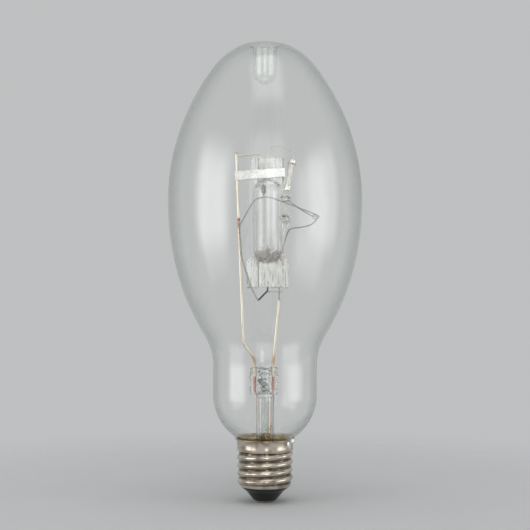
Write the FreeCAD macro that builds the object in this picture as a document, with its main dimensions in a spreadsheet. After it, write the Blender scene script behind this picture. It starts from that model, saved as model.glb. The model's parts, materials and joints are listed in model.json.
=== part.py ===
import FreeCAD, Part
import math
import os
import re
import Sketcher

Vector = FreeCAD.Vector
TOUCH = 0.0001

# A 250 W blended light lamp with an E27 screw cap, in millimetres.
# Z runs up the lamp's axis, the cap is at the bottom, and the origin is the lowest point of the contact.
# The lead-in wires stand left and right of the axis along X, and the front is towards -Y.

SIZES = {
    # The blown bulb: a dome, a long oval flank, a shoulder, a round neck and a bowl down to the tail
    "bulb_radius": 45.2,
    "equator": 138.0,
    "belt_height": 2.0,
    "dome_height": 74.8,
    "dome_radius": 29.0,
    "shoulder_radius": 28.1,
    "neck_radius": 24.1,
    "neck_high": 63.0,
    "bowl_gap": 1.03,
    "glass_wall": 0.9,
    "tail_fillet": 2.4,
    "tail_radius": 10.9,
    "tail_foot": 16.5,
    # The glass finger that is drawn down into the dome
    "dimple_radius": 4.6,
    "dimple_mouth": 3.0,
    "dimple_depth": 20.2,
    # The E27 screw cap
    "shell_wall": 0.3,
    "shell_foot": 7.3,
    "curl_radius": 10.9,
    "root_radius": 12.13,
    "crest_radius": 13.15,
    "thread_pitch": 3.629,
    "thread_start": 9.0,
    "thread_turns": 3.85,
    "ridge_base": 2.9,
    "ridge_crest": 0.9,
    "collar_foot": 24.5,
    "collar_radius": 13.2,
    "collar_top": 28.5,
    "lip_radius": 14.2,
    "lip_height": 29.5,
    "cement_depth": 9.4,
    # The black glass insulator and the contact under it
    "insulator_top": 10.6,
    "insulator_step": 5.0,
    "insulator_cone": 8.6,
    "insulator_foot_radius": 5.0,
    "insulator_foot": 0.8,
    "contact_radius": 4.6,
    "contact_thickness": 0.8,
    "contact_drop": 0.45,
    "solder_radius": 2.7,
    "solder_flat": 1.8,
    "solder_bore": 0.8,
    # The stem: a flared tube whose top is pressed flat round the lead-in wires
    "flare_radius": 5.5,
    "flare_foot": 1.5,
    "stem_radius": 4.2,
    "stem_wall": 0.9,
    "press_foot": 50.6,
    "press_top": 62.8,
    "press_web": 3.0,
    "press_lobe": 2.25,
    "press_lap": 0.8,
    "press_seal": 1.6,
    "exhaust_radius": 1.9,
    "exhaust_wall": 0.6,
    "exhaust_foot": 15.2,
    # Lead-in wires
    "mount_wire": 1.3,
    "dumet_wire": 0.8,
    "copper_wire": 0.5,
    "left_lead": -4.75,
    "right_lead": 3.75,
    "dumet_foot": 51.6,
    "dumet_top": 58.4,
    "inner_lead": 2.8,
    "lead_stub": 0.5,
    "lead_neck": 2.6,
    "lead_overhang": 0.6,
    "support_rise": 3.9,
    "support_bend": 74.3,
    "support_reach": -10.1,
    "support_top": 163.1,
    "support_top_reach": -13.5,
    "short_lead_rise": 1.5,
    "short_lead_gap": 5.6,
    "short_lead_reach": 6.5,
    "side_angle": -28.0,
    # The quartz arc tube
    "tube_offset": 1.2,
    "tube_radius": 6.6,
    "tube_wall": 1.0,
    "chamber_low": 117.9,
    "chamber_high": 143.9,
    "low_pinch_foot": 99.4,
    "low_pinch_top": 114.3,
    "low_pinch_width": 19.8,
    "high_pinch_foot": 147.2,
    "high_pinch_top": 160.3,
    "high_pinch_width": 15.4,
    "pinch_rib": 3.3,
    "pinch_thickness": 3.5,
    "pinch_web": 2.4,
    "pinch_corner": 2.8,
    # The conductors sealed in the pinches
    "foil_thickness": 0.15,
    "main_foil": 2.6,
    "starting_foil": 1.6,
    "low_foil_foot": 102.2,
    "low_foil_top": 109.6,
    "high_foil_foot": 151.4,
    "high_foil_top": 158.0,
    "electrode_rod": 0.8,
    "electrode_coil": 2.5,
    "coil_length": 4.0,
    "coil_inset": 0.9,
    "low_electrode_tip": 119.0,
    "high_electrode_tip": 142.8,
    "starting_tip": 146.6,
    "starting_rod": 0.5,
    "arc_lead": 0.8,
    "lower_lead_reach": 4.4,
    "lower_lead_drop": 5.5,
    # The nickel strap that holds the upper pinch to the support wire
    "strap_height": 4.2,
    "strap_middle": 153.0,
    "strap_thickness": 0.25,
    "strap_lean": 4.0,
    "strap_gap": 0.25,
    # The starting resistor beside the arc tube, and the glass beads under it
    "resistor_radius": 1.25,
    "resistor_length": 15.4,
    "resistor_cap": 2.6,
    "resistor_cap_wall": 0.25,
    "resistor_foot_x": 10.15,
    "resistor_foot_y": -3.1,
    "resistor_foot_z": 144.6,
    "resistor_tilt": 11.0,
    "bead_radius": 2.05,
    "bead_x": 9.6,
    "bead_y": -3.5,
    "high_bead": 141.6,
    "low_bead": 131.8,
    "fine_wire": 0.4,
    # The ballast filament, a fine coil strung round the arc tube
    "filament": 0.8,
    "left_hook_gap": 1.03,
    "left_hook_height": 128.6,
    "right_hook_reach": 24.3,
    "right_hook_height": 132.9,
    "hook_gap": 0.08,
    "loop_gap": 3.2,
    "loop_rise": 9.05,
    "loop_return": 5.5,
    "hanger_gap": 0.02,
    "hanger_drop": 2.1,
}

BELT_TOP = "(equator + belt_height)"
DOME_TOP = "(equator + belt_height + dome_height)"
BOWL_HEIGHT = "(lip_height + sqrt(pow(neck_radius; 2) - pow(lip_radius; 2)) + bowl_gap)"

doc = FreeCAD.newDocument("blended_light_lamp")
sheet = doc.addObject("Spreadsheet::Sheet", "Sizes")
for row, (alias, number) in enumerate(SIZES.items(), start=1):
    sheet.set(f"A{row}", alias)
    sheet.set(f"B{row}", str(number))
    sheet.setAlias(f"B{row}", alias)
doc.recompute()


def named(text):
    """An expression whose bare size names point at the sheet."""
    return re.sub(r"[a-z_]+", lambda m: f"Sizes.{m.group()}" if m.group() in SIZES else m.group(), text)


def size(text):
    """The value of an expression of size names, in millimetres or degrees."""
    return float(sheet.evalExpression(named(text)))


def new_body(label):
    body = doc.addObject("PartDesign::Body", label)
    body.Label = label
    return body


def plane(body, role):
    return next(item for item in body.Origin.OriginFeatures if item.Role == role)


def new_sketch(body, name, role, height="0"):
    """A sketch on one of the body's own origin planes, raised by a height above it."""
    sketch = body.newObject("Sketcher::SketchObject", name)
    sketch.AttachmentSupport = [(plane(body, role), "")]
    sketch.MapMode = "FlatFace"
    if height != "0":
        sketch.setExpression("AttachmentOffset.Base.z", named(height))
    return sketch


def fix_distance(sketch, kind, place, text):
    """Ties one coordinate of a point to an expression."""
    if text == "0":
        axis = -2 if kind == "DistanceX" else -1
        sketch.addConstraint(Sketcher.Constraint("PointOnObject", place[0], place[1], axis))
        return
    index = sketch.addConstraint(Sketcher.Constraint(kind, -1, 1, place[0], place[1], size(text)))
    sketch.setExpression(f"Constraints[{index}]", named(text))


def fix_radius(sketch, geometry, text):
    index = sketch.addConstraint(Sketcher.Constraint("Radius", geometry, size(text)))
    sketch.setExpression(f"Constraints[{index}]", named(text))


def arc_centre(start, end, radius, side):
    """The centre of a short arc, on the left (1) or the right (-1) of the way from start to end."""
    chord = end - start
    middle = (start + end) / 2
    rise = math.sqrt(max(radius**2 - (chord.Length / 2) ** 2, 0))
    return middle + Vector(-chord.y, chord.x, 0).normalize() * rise * side


def outline(body, name, role, corners, height="0"):
    """A closed outline. A corner is (across, up), with (radius, side) added where an arc leads on."""
    sketch = new_sketch(body, name, role, height)
    points = [Vector(size(corner[0]), size(corner[1]), 0) for corner in corners]
    ends = []
    for index, corner in enumerate(corners):
        start, end = points[index], points[(index + 1) % len(points)]
        if len(corner) == 2:
            sketch.addGeometry(Part.LineSegment(start, end), False)
            ends.append((1, 2))
            continue
        radius, side = size(corner[2]), corner[3]
        centre = arc_centre(start, end, radius, side)
        first, last = (start, end) if side > 0 else (end, start)
        angles = [math.atan2(point.y - centre.y, point.x - centre.x) for point in (first, last)]
        if angles[1] < angles[0]:
            angles[1] += 2 * math.pi
        circle = Part.Circle(centre, Vector(0, 0, 1), radius)
        sketch.addGeometry(Part.ArcOfCircle(circle, *angles), False)
        ends.append((1, 2) if side > 0 else (2, 1))
    for index, corner in enumerate(corners):
        after = (index + 1) % len(corners)
        sketch.addConstraint(
            Sketcher.Constraint("Coincident", index, ends[index][1], after, ends[after][0])
        )
        fix_distance(sketch, "DistanceX", (index, ends[index][0]), corner[0])
        fix_distance(sketch, "DistanceY", (index, ends[index][0]), corner[1])
        if len(corner) == 4:
            fix_radius(sketch, index, corner[2])
    return sketch


def circles(body, name, role, rounds, height="0"):
    """Separate circles, each (across, up, radius)."""
    sketch = new_sketch(body, name, role, height)
    for index, (across, up, radius) in enumerate(rounds):
        centre = Vector(size(across), size(up), 0)
        sketch.addGeometry(Part.Circle(centre, Vector(0, 0, 1), size(radius)), False)
        fix_distance(sketch, "DistanceX", (index, 3), across)
        fix_distance(sketch, "DistanceY", (index, 3), up)
        fix_radius(sketch, index, radius)
    return sketch


def revolve(body, sketch, kind="PartDesign::Revolution"):
    feature = body.newObject(kind, sketch.Name + "_turned")
    feature.Profile = (sketch, [""])
    feature.ReferenceAxis = (sketch, ["V_Axis"])
    feature.Angle = 360
    return feature


def pad(body, sketch, length, symmetric=False):
    feature = body.newObject("PartDesign::Pad", sketch.Name + "_pad")
    feature.Profile = (sketch, [""])
    feature.setExpression("Length", named(length))
    if symmetric:
        feature.SideType = "Symmetric"
    return feature


def turned(label, corners):
    """A body turned about the lamp's axis from one closed outline."""
    body = new_body(label)
    revolve(body, outline(body, label + "_section", "XZ_Plane", corners))
    return body


def bent_wire(label, diameter, points, bend):
    """A round wire through points, with a tangent arc at each inner point.

    A point may carry a fourth number, the radius of its own bend.
    """
    bends = [point[3] if len(point) == 4 else bend for point in points]
    points = [Vector(*point[:3]) for point in points]
    edges, start = [], points[0]
    for before, corner, after, bend in zip(points, points[1:], points[2:], bends[1:]):
        back, on = (before - corner).normalize(), (after - corner).normalize()
        turn = math.pi - back.getAngle(on)
        room = 0.45 * min((before - corner).Length, (after - corner).Length)
        radius = min(bend, room / math.tan(turn / 2))
        run = radius * math.tan(turn / 2)
        middle = corner + (back + on).normalize() * (radius / math.cos(turn / 2) - radius)
        edges.append(Part.LineSegment(start, corner + back * run).toShape())
        edges.append(Part.Arc(corner + back * run, middle, corner + on * run).toShape())
        start = corner + on * run
    edges.append(Part.LineSegment(start, points[-1]).toShape())
    path = Part.Wire(edges)
    first = (points[1] - points[0]).normalize()
    ring = Part.Wire([Part.Circle(points[0], first, size(diameter) / 2).toShape()])
    wire = doc.addObject("Part::Feature", label)
    wire.Label = label
    wire.Shape = path.makePipeShell([ring], True, False)
    return wire


def fused(label, pieces):
    union = doc.addObject("Part::MultiFuse", label)
    union.Label = label
    union.Shapes = pieces
    return union


def sealed_round(label, blank, pieces):
    """A glass, ceramic or cement blank with the room that the pieces in it take up."""
    cut = doc.addObject("Part::Cut", label)
    cut.Label = label
    cut.Base = blank
    cut.Tool = pieces[0] if len(pieces) == 1 else fused(label + "_contents", pieces)
    return cut


def add_bulb_geometry(sketch):
    """The bulb's half section: tangent lines and arcs, with the inside a wall's thickness away."""
    wall = size("glass_wall")
    side = size("bulb_radius")
    dome = Vector(0, size(f"{DOME_TOP} - dome_radius"), 0)
    rise = dome.y - size(BELT_TOP)
    dome_radius = size("dome_radius")
    flank_radius = (side**2 + rise**2 - dome_radius**2) / (2 * (side - dome_radius))
    flank = Vector(side - flank_radius, size(BELT_TOP), 0)
    neck = size("neck_radius")
    drop = size("equator - neck_high")
    shoulder_radius = size("shoulder_radius")
    lower_radius = (drop**2 + (side - neck) ** 2) / (2 * (side - neck)) - shoulder_radius
    lower = Vector(side - lower_radius, size("equator"), 0)
    shoulder = Vector(neck + shoulder_radius, size("neck_high"), 0)
    bowl = Vector(0, size(BOWL_HEIGHT), 0)
    tail, fillet, foot_height = size("tail_radius"), size("tail_fillet"), size("tail_foot")
    fillet_centre = Vector(tail + fillet, bowl.y - math.sqrt((neck + fillet) ** 2 - (tail + fillet) ** 2), 0)
    mouth = size("dimple_mouth")
    mouth_x = size("dimple_radius + dimple_mouth")
    mouth_centre = Vector(mouth_x, dome.y + math.sqrt((dome_radius - mouth) ** 2 - mouth_x**2), 0)
    tip = Vector(0, size(f"{DOME_TOP} - dimple_depth + dimple_radius + glass_wall"), 0)

    def arc(centre, radius, start, end):
        """An arc drawn anticlockwise from one direction to the other."""
        angles = [math.atan2(direction.y, direction.x) for direction in (start, end)]
        if angles[1] < angles[0]:
            angles[1] += 2 * math.pi
        circle = Part.Circle(centre, Vector(0, 0, 1), radius)
        return sketch.addGeometry(Part.ArcOfCircle(circle, *angles), False)

    def line(start, end):
        return sketch.addGeometry(Part.LineSegment(start, end), False)

    right, left, down = Vector(1, 0, 0), Vector(-1, 0, 0), Vector(0, -1, 0)
    skins = []
    for inset in (0, wall):
        skins.append(
            [
                (arc(tip, size("dimple_radius") + inset, down, right), 1, 2),
                (line(tip + right * (mouth_x - mouth + inset), mouth_centre + left * (mouth - inset)), 1, 2),
                (arc(mouth_centre, mouth - inset, mouth_centre - dome, left), 2, 1),
                (arc(dome, dome_radius - inset, dome - flank, mouth_centre - dome), 2, 1),
                (arc(flank, flank_radius - inset, right, dome - flank), 2, 1),
                (line(flank + right * (flank_radius - inset), lower + right * (lower_radius - inset)), 1, 2),
                (arc(lower, lower_radius - inset, shoulder - lower, right), 2, 1),
                (arc(shoulder, shoulder_radius + inset, lower - shoulder, left), 1, 2),
                (line(shoulder + left * (shoulder_radius + inset), bowl + right * (neck - inset)), 1, 2),
                (arc(bowl, neck - inset, fillet_centre - bowl, right), 2, 1),
                (arc(fillet_centre, fillet + inset, bowl - fillet_centre, left), 1, 2),
                (line(fillet_centre + left * (fillet + inset), Vector(tail - inset, foot_height, 0)), 1, 2),
            ]
        )
    foot = line(Vector(tail, foot_height, 0), Vector(tail - wall, foot_height, 0))
    axis = line(tip + down * size("dimple_radius"), tip + down * (size("dimple_radius") + wall))
    return skins, foot, axis


def bulb_sketch(body):
    sketch = new_sketch(body, "bulb_section", "XZ_Plane")
    skins, foot, axis = add_bulb_geometry(sketch)
    outer, inner = skins

    def tie(kind, *rest):
        return sketch.addConstraint(Sketcher.Constraint(kind, *rest))

    for skin in skins:
        for (one, _, one_end), (other, other_start, _) in zip(skin, skin[1:]):
            tie("Tangent", one, one_end, other, other_start)
        for index in (1, 5, 8, 11):
            tie("Vertical", skin[index][0])
    for index in (0, 2, 3, 4, 6, 7, 9, 10):
        tie("Coincident", outer[index][0], 3, inner[index][0], 3)
    for centred in (outer[0], outer[3], outer[9]):
        tie("PointOnObject", centred[0], 3, -2)
    tie("Coincident", outer[11][0], 2, foot, 1)
    tie("Coincident", inner[11][0], 2, foot, 2)
    tie("Horizontal", foot)
    tie("Coincident", outer[0][0], 1, axis, 1)
    tie("Coincident", inner[0][0], 1, axis, 2)
    tie("PointOnObject", axis, 1, -2)
    tie("PointOnObject", axis, 2, -2)
    heights = {
        (outer[0][0], 3): f"{DOME_TOP} - dimple_depth + dimple_radius + glass_wall",
        (outer[3][0], 3): f"{DOME_TOP} - dome_radius",
        (outer[4][0], 3): BELT_TOP,
        (outer[6][0], 3): "equator",
        (outer[7][0], 3): "neck_high",
        (outer[9][0], 3): BOWL_HEIGHT,
        (foot, 1): "tail_foot",
    }
    for place, text in heights.items():
        fix_distance(sketch, "DistanceY", place, text)
    fix_distance(sketch, "DistanceX", (outer[5][0], 1), "bulb_radius")
    fix_distance(sketch, "DistanceX", (inner[5][0], 1), "bulb_radius - glass_wall")
    fix_distance(sketch, "DistanceX", (foot, 1), "tail_radius")
    radii = {
        outer[0][0]: "dimple_radius",
        outer[2][0]: "dimple_mouth",
        outer[3][0]: "dome_radius",
        outer[7][0]: "shoulder_radius",
        outer[9][0]: "neck_radius",
        outer[10][0]: "tail_fillet",
    }
    for geometry, text in radii.items():
        fix_radius(sketch, geometry, text)
    return sketch


def outer_bulb():
    body = new_body("outer_bulb")
    revolve(body, bulb_sketch(body))
    return body


def cap_shell():
    """The nickel-plated shell, rolled from thin sheet, with a right-hand thread and a flared lip."""
    body = new_body("cap_shell")
    section = [
        ("curl_radius", "shell_foot"),
        ("root_radius - 0.4", "shell_foot + 0.1"),
        ("root_radius", "shell_foot + 1"),
        ("root_radius", "collar_foot - 0.9"),
        ("collar_radius - 0.15", "collar_foot - 0.6", "0.5", 1),
        ("collar_radius - 0.15", "collar_foot + 0.2"),
        ("collar_radius", "collar_foot + 0.5"),
        ("collar_radius", "collar_top"),
        ("lip_radius", "lip_height"),
        ("lip_radius - shell_wall", "lip_height + shell_wall / 2"),
        ("collar_radius - shell_wall", "collar_top + shell_wall / 2"),
        ("collar_radius - shell_wall", "collar_foot + 0.3"),
        ("root_radius - shell_wall", "collar_foot - 0.6"),
        ("root_radius - shell_wall", "shell_foot + 1 + shell_wall / 2"),
        ("root_radius - 0.4 - shell_wall", "shell_foot + 0.1 + shell_wall"),
        ("curl_radius", "shell_foot + shell_wall"),
    ]
    revolve(body, outline(body, "shell_section", "XZ_Plane", section))
    doc.recompute()
    ridge = outline(
        body,
        "thread_section",
        "YZ_Plane",
        [
            ("root_radius - shell_wall / 2", "thread_start - ridge_base / 2"),
            ("crest_radius", "thread_start - ridge_crest / 2"),
            ("crest_radius", "thread_start + ridge_crest / 2"),
            ("root_radius - shell_wall / 2", "thread_start + ridge_base / 2"),
        ],
    )
    helix = body.newObject("PartDesign::AdditiveHelix", "thread")
    helix.Profile = (ridge, [""])
    helix.ReferenceAxis = (ridge, ["V_Axis"])
    helix.Mode = "pitch-turns-angle"
    helix.setExpression("Pitch", named("thread_pitch"))
    helix.setExpression("Turns", named("thread_turns"))
    return body


def cap_insulator(shell, lead):
    """Black glass that is cast into the foot of the shell, with a hole for the centre lead."""
    blank = turned(
        "insulator_blank",
        [
            ("0", "insulator_foot + contact_thickness - contact_drop"),
            ("contact_radius", "insulator_foot + contact_thickness - contact_drop"),
            ("contact_radius", "insulator_foot"),
            ("insulator_foot_radius", "insulator_foot"),
            ("insulator_foot_radius + 0.5", "insulator_foot + 0.5"),
            ("insulator_cone", "insulator_step"),
            ("curl_radius - 0.9", "insulator_step + 1"),
            ("curl_radius", "shell_foot - 0.4"),
            ("curl_radius", "shell_foot + shell_wall / 2"),
            ("root_radius - shell_wall / 2", "shell_foot + shell_wall + 0.6"),
            ("root_radius - shell_wall / 2", "insulator_top"),
            ("insulator_cone", "insulator_top"),
            ("contact_radius / 2", "insulator_step + 1.5"),
            ("0", "insulator_step + 1.5"),
        ],
    )
    return sealed_round("cap_insulator", blank, [shell, lead])


def centre_contact():
    return turned(
        "centre_contact",
        [
            ("solder_bore", "insulator_foot - contact_drop"),
            ("contact_radius - 0.3", "insulator_foot - contact_drop"),
            ("contact_radius", "insulator_foot"),
            ("contact_radius", "insulator_foot + contact_thickness - contact_drop"),
            ("solder_bore", "insulator_foot + contact_thickness - contact_drop"),
        ],
    )


def centre_solder(lead):
    """A solder dome with a small flat, which also fills the contact's hole."""
    blank = turned(
        "centre_solder_blank",
        [
            ("0", "0"),
            ("solder_flat", "0", "solder_radius - solder_flat + 0.2", 1),
            ("solder_radius", "insulator_foot - contact_drop"),
            ("solder_bore", "insulator_foot - contact_drop"),
            ("solder_bore", "insulator_foot + contact_thickness - contact_drop"),
            ("0", "insulator_foot + contact_thickness - contact_drop"),
        ],
    )
    return sealed_round("centre_solder", blank, [lead])


def cap_cement(bulb, shell, lead):
    """The brown cement ring between the bulb's tail and the shell."""
    blank = turned(
        "cement_blank",
        [
            ("tail_radius - glass_wall / 2", "lip_height - cement_depth"),
            ("root_radius - shell_wall / 2", "lip_height - cement_depth"),
            ("root_radius - shell_wall / 2", "collar_foot - 0.6"),
            ("collar_radius - shell_wall / 2", "collar_foot + 0.3"),
            ("collar_radius - shell_wall / 2", "collar_top"),
            ("lip_radius - 0.75", "lip_height - 0.3"),
            ("tail_radius + 1.3", "lip_height - 0.2"),
            ("tail_radius - glass_wall / 2", f"{BOWL_HEIGHT} - neck_radius + 1.3"),
        ],
    )
    return sealed_round("cap_cement", blank, [bulb, shell, lead])


def stem_glass(sealed):
    """A flared tube whose foot is fused to the tail and whose top is pressed round the wires."""
    body = new_body("stem_blank")
    tube = [
        ("tail_radius - glass_wall - stem_wall", "tail_foot"),
        ("tail_radius - glass_wall", "tail_foot"),
        ("tail_radius - glass_wall", "tail_foot + flare_foot"),
        ("stem_radius + flare_radius", "tail_foot + flare_foot", "flare_radius", -1),
        ("stem_radius", "tail_foot + flare_foot + flare_radius"),
        ("stem_radius", "press_foot"),
        ("0", "press_foot"),
        ("0", "press_foot - press_seal"),
        ("stem_radius - stem_wall", "press_foot - press_seal"),
        (
            "stem_radius - stem_wall",
            "tail_foot + flare_foot + flare_radius",
            "flare_radius + stem_wall",
            1,
        ),
        (
            "tail_radius - glass_wall - stem_wall",
            "tail_foot + flare_foot + flare_radius"
            " - sqrt(pow(flare_radius + stem_wall; 2)"
            " - pow(stem_radius + flare_radius - tail_radius + glass_wall + stem_wall; 2))",
        ),
    ]
    revolve(body, outline(body, "stem_section", "XZ_Plane", tube))
    web = [
        ("left_lead", "-press_web / 2"),
        ("right_lead", "-press_web / 2"),
        ("right_lead", "press_web / 2"),
        ("left_lead", "press_web / 2"),
    ]
    pad(body, outline(body, "press_web", "XY_Plane", web, "press_foot"), "press_top - press_foot")
    lobes = [("left_lead", "0", "press_lobe"), ("right_lead", "0", "press_lobe")]
    lobe_sketch = circles(body, "press_lobes", "XY_Plane", lobes, "press_foot - press_lap")
    pad(body, lobe_sketch, "press_top - press_foot + press_lap")
    return sealed_round("stem_glass", body, sealed)


def exhaust_tube():
    """The tube that the bulb was pumped through, closed to a tip inside the cap."""
    return turned(
        "exhaust_tube",
        [
            ("0", "exhaust_foot", "exhaust_radius * 1.6", 1),
            ("exhaust_radius", "exhaust_foot + 2.4"),
            ("exhaust_radius", "press_foot - press_seal"),
            ("exhaust_radius - exhaust_wall", "press_foot - press_seal"),
            ("exhaust_radius - exhaust_wall", "exhaust_foot + 3"),
            ("0", "exhaust_foot + 1.4"),
        ],
    )


def i_section(width):
    """A pinch seen along the tube: two thick ribs joined by a thinner web."""
    edge, rib = f"{width} / 2", f"{width} / 2 - pinch_rib"
    thick, thin = "pinch_thickness / 2", "pinch_web / 2"
    quarter = [(rib, thin), (rib, thick), (edge, thick)]
    right = [(x, f"-{y}") for x, y in quarter] + [(x, y) for x, y in reversed(quarter)]
    left = [(f"-({x})", y) for x, y in quarter] + [(f"-({x})", f"-{y}") for x, y in reversed(quarter)]
    return right + left


def round_corners(body, height, width):
    """Rounds the two outer corners of a pinch at one height, seen from the front."""
    doc.recompute()
    feature, names = body.Tip, []
    for index, edge in enumerate(feature.Shape.Edges, start=1):
        middle = edge.CenterOfMass
        outer = abs(abs(middle.x) - size(width) / 2) < TOUCH
        if outer and abs(middle.y) < TOUCH and abs(middle.z - size(height)) < TOUCH:
            names.append(f"Edge{index}")
    rounds = body.newObject("PartDesign::Fillet", feature.Name + "_corners")
    rounds.Base = (feature, names)
    rounds.setExpression("Radius", named("pinch_corner"))


def arc_tube(sealed):
    """The quartz arc tube: a round chamber with a flat pinch at each end."""
    body = new_body("arc_tube_blank")
    body.setExpression("Placement.Base.x", named("tube_offset"))
    body.AllowCompound = True
    for name, foot, top, width, shoulder in (
        ("low_pinch", "low_pinch_foot", "low_pinch_top", "low_pinch_width", "low_pinch_top"),
        ("high_pinch", "high_pinch_foot", "high_pinch_top", "high_pinch_width", "high_pinch_foot"),
    ):
        sketch = outline(body, name, "XY_Plane", i_section(width), foot)
        pad(body, sketch, f"{top} - {foot}")
        round_corners(body, shoulder, width)
    skin = [
        ("0", "chamber_low - tube_radius", "tube_radius", 1),
        ("tube_radius", "chamber_low"),
        ("tube_radius", "chamber_high", "tube_radius", 1),
        ("0", "chamber_high + tube_radius"),
    ]
    revolve(body, outline(body, "chamber", "XZ_Plane", skin))
    bore = "tube_radius - tube_wall"
    room = [
        ("0", f"chamber_low - ({bore})", bore, 1),
        (bore, "chamber_low"),
        (bore, "chamber_high", bore, 1),
        ("0", f"chamber_high + {bore}"),
    ]
    revolve(body, outline(body, "discharge_room", "XZ_Plane", room), "PartDesign::Groove")
    return sealed_round("arc_tube", body, sealed)


def foil(label, offset, width, foot, top):
    """A molybdenum foil, which lets the quartz seal round a conductor."""
    strip = doc.addObject("Part::Box", label)
    strip.Label = label
    strip.setExpression("Length", named(width))
    strip.setExpression("Width", named("foil_thickness"))
    strip.setExpression("Height", named(f"{top} - {foot}"))
    strip.setExpression("Placement.Base.x", named(f"tube_offset + {offset} - {width} / 2"))
    strip.setExpression("Placement.Base.y", named("-foil_thickness / 2"))
    strip.setExpression("Placement.Base.z", named(foot))
    return strip


def electrode(label, offset, seat, tip, away):
    """A tungsten rod with a tight coil near its tip. Away is 1 where the tip is above the seat."""
    body = new_body(label)
    body.setExpression("Placement.Base.x", named(f"tube_offset + {offset}"))
    rod = "electrode_rod / 2"
    turn = "coil_length / 5"
    coil_end = f"{tip} - {away} * coil_inset"
    corners = [("0", seat), (rod, seat), (rod, f"{coil_end} - {away} * coil_length")]
    for ring in range(5):
        corners.append(
            (
                "electrode_coil / 2 - coil_length / 10",
                f"{coil_end} - {away} * (coil_length - {ring} * {turn})",
                "coil_length / 9",
                away,
            )
        )
    corners += [
        ("electrode_coil / 2 - coil_length / 10", coil_end),
        (rod, coil_end),
        (rod, tip),
        ("0", tip),
    ]
    revolve(body, outline(body, label + "_section", "XZ_Plane", corners))
    return body


def rod(label, offset, diameter, foot, top):
    pin = doc.addObject("Part::Cylinder", label)
    pin.Label = label
    pin.setExpression("Radius", named(f"{diameter} / 2"))
    pin.setExpression("Height", named(f"{top} - ({foot})"))
    pin.setExpression("Placement.Base.x", named(f"tube_offset + {offset}"))
    pin.setExpression("Placement.Base.z", named(foot))
    return pin


def mercury_drops():
    """Drops of mercury that lie in the lower end of the arc tube."""
    room = size("tube_radius - tube_wall")
    drops = []
    for number, (radius, around, down) in enumerate(
        ((0.55, -100, 62), (0.4, -65, 50), (0.45, -140, 48), (0.35, -30, 58), (0.5, 160, 55), (0.35, 60, 50)),
        start=1,
    ):
        drop = doc.addObject("Part::Sphere", f"drop_{number}")
        drop.Radius = radius
        reach = room - radius
        flat = reach * math.cos(math.radians(down))
        angle = math.radians(around)
        drop.Placement.Base = Vector(
            size("tube_offset") + flat * math.cos(angle),
            flat * math.sin(angle),
            size("chamber_low") - reach * math.sin(math.radians(down)),
        )
        drops.append(drop)
    group = doc.addObject("Part::Compound", "mercury_drops")
    group.Label = "mercury_drops"
    group.Links = drops
    return group


def arc_tube_strap():
    """A nickel band round the upper pinch, whose two ends grip the support wire."""
    body = new_body("arc_tube_strap")
    seat = "pinch_thickness / 2 + strap_gap"
    back = "high_pinch_width / 2 + strap_gap"
    grip = "mount_wire / 2"
    end = "support_top_reach - tube_offset - mount_wire / 2"
    tongue = "support_top_reach - tube_offset + mount_wire * 2"
    plan = [
        (end, f"-({grip} + strap_thickness)"),
        (tongue, f"-({grip} + strap_thickness)"),
        (f"-({back})", f"-({seat} + strap_thickness)"),
        (f"{back} + strap_thickness", f"-({seat} + strap_thickness)"),
        (f"{back} + strap_thickness", f"{seat} + strap_thickness"),
        (f"-({back})", f"{seat} + strap_thickness"),
        (tongue, f"{grip} + strap_thickness"),
        (end, f"{grip} + strap_thickness"),
        (end, grip),
        (tongue, grip),
        (f"-({back})", seat),
        (back, seat),
        (back, f"-({seat})"),
        (f"-({back})", f"-({seat})"),
        (tongue, f"-{grip}"),
        (end, f"-{grip}"),
    ]
    pad(body, outline(body, "strap_plan", "XY_Plane", plan), "strap_height", symmetric=True)
    body.setExpression("Placement.Base.x", named("tube_offset"))
    body.setExpression("Placement.Base.z", named("strap_middle"))
    body.Placement.Rotation = FreeCAD.Rotation(Vector(0, 1, 0), -size("strap_lean"))
    return body


def resistor_frame():
    """The foot and the direction of the starting resistor."""
    foot = Vector(size("resistor_foot_x"), size("resistor_foot_y"), size("resistor_foot_z"))
    tilt = math.radians(size("resistor_tilt"))
    return foot, Vector(math.sin(tilt), math.sin(tilt) * 0.75, math.cos(tilt)).normalize()


def along_resistor(body):
    foot, direction = resistor_frame()
    body.Placement = FreeCAD.Placement(foot, FreeCAD.Rotation(Vector(0, 0, 1), direction))
    return body


def starting_resistor():
    return along_resistor(
        turned(
            "starting_resistor",
            [
                ("0", "resistor_cap_wall"),
                ("resistor_radius", "resistor_cap_wall"),
                ("resistor_radius", "resistor_length - resistor_cap_wall"),
                ("0", "resistor_length - resistor_cap_wall"),
            ],
        )
    )


def resistor_cap(label, foot, away):
    """A pressed metal cap over one end of the resistor. Away is 1 where the cup opens upwards."""
    skin = "resistor_radius + resistor_cap_wall"
    body = turned(
        label,
        [
            ("0", foot),
            (f"{skin} - 0.3", foot),
            (skin, f"{foot} + {away} * 0.3"),
            (skin, f"{foot} + {away} * resistor_cap"),
            ("resistor_radius", f"{foot} + {away} * resistor_cap"),
            ("resistor_radius", f"{foot} + {away} * resistor_cap_wall"),
            ("0", f"{foot} + {away} * resistor_cap_wall"),
        ],
    )
    return along_resistor(body)


def bead(label, height, sealed):
    ball = doc.addObject("Part::Sphere", label + "_blank")
    ball.setExpression("Radius", named("bead_radius"))
    ball.setExpression("Placement.Base.x", named("bead_x"))
    ball.setExpression("Placement.Base.y", named("bead_y"))
    ball.setExpression("Placement.Base.z", named(height))
    return sealed_round(label, ball, sealed)


def around_axis(radius, height):
    """A point at the side where the shell lead comes out."""
    angle = math.radians(size("side_angle"))
    return (radius * math.cos(angle), radius * math.sin(angle), height)


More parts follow.
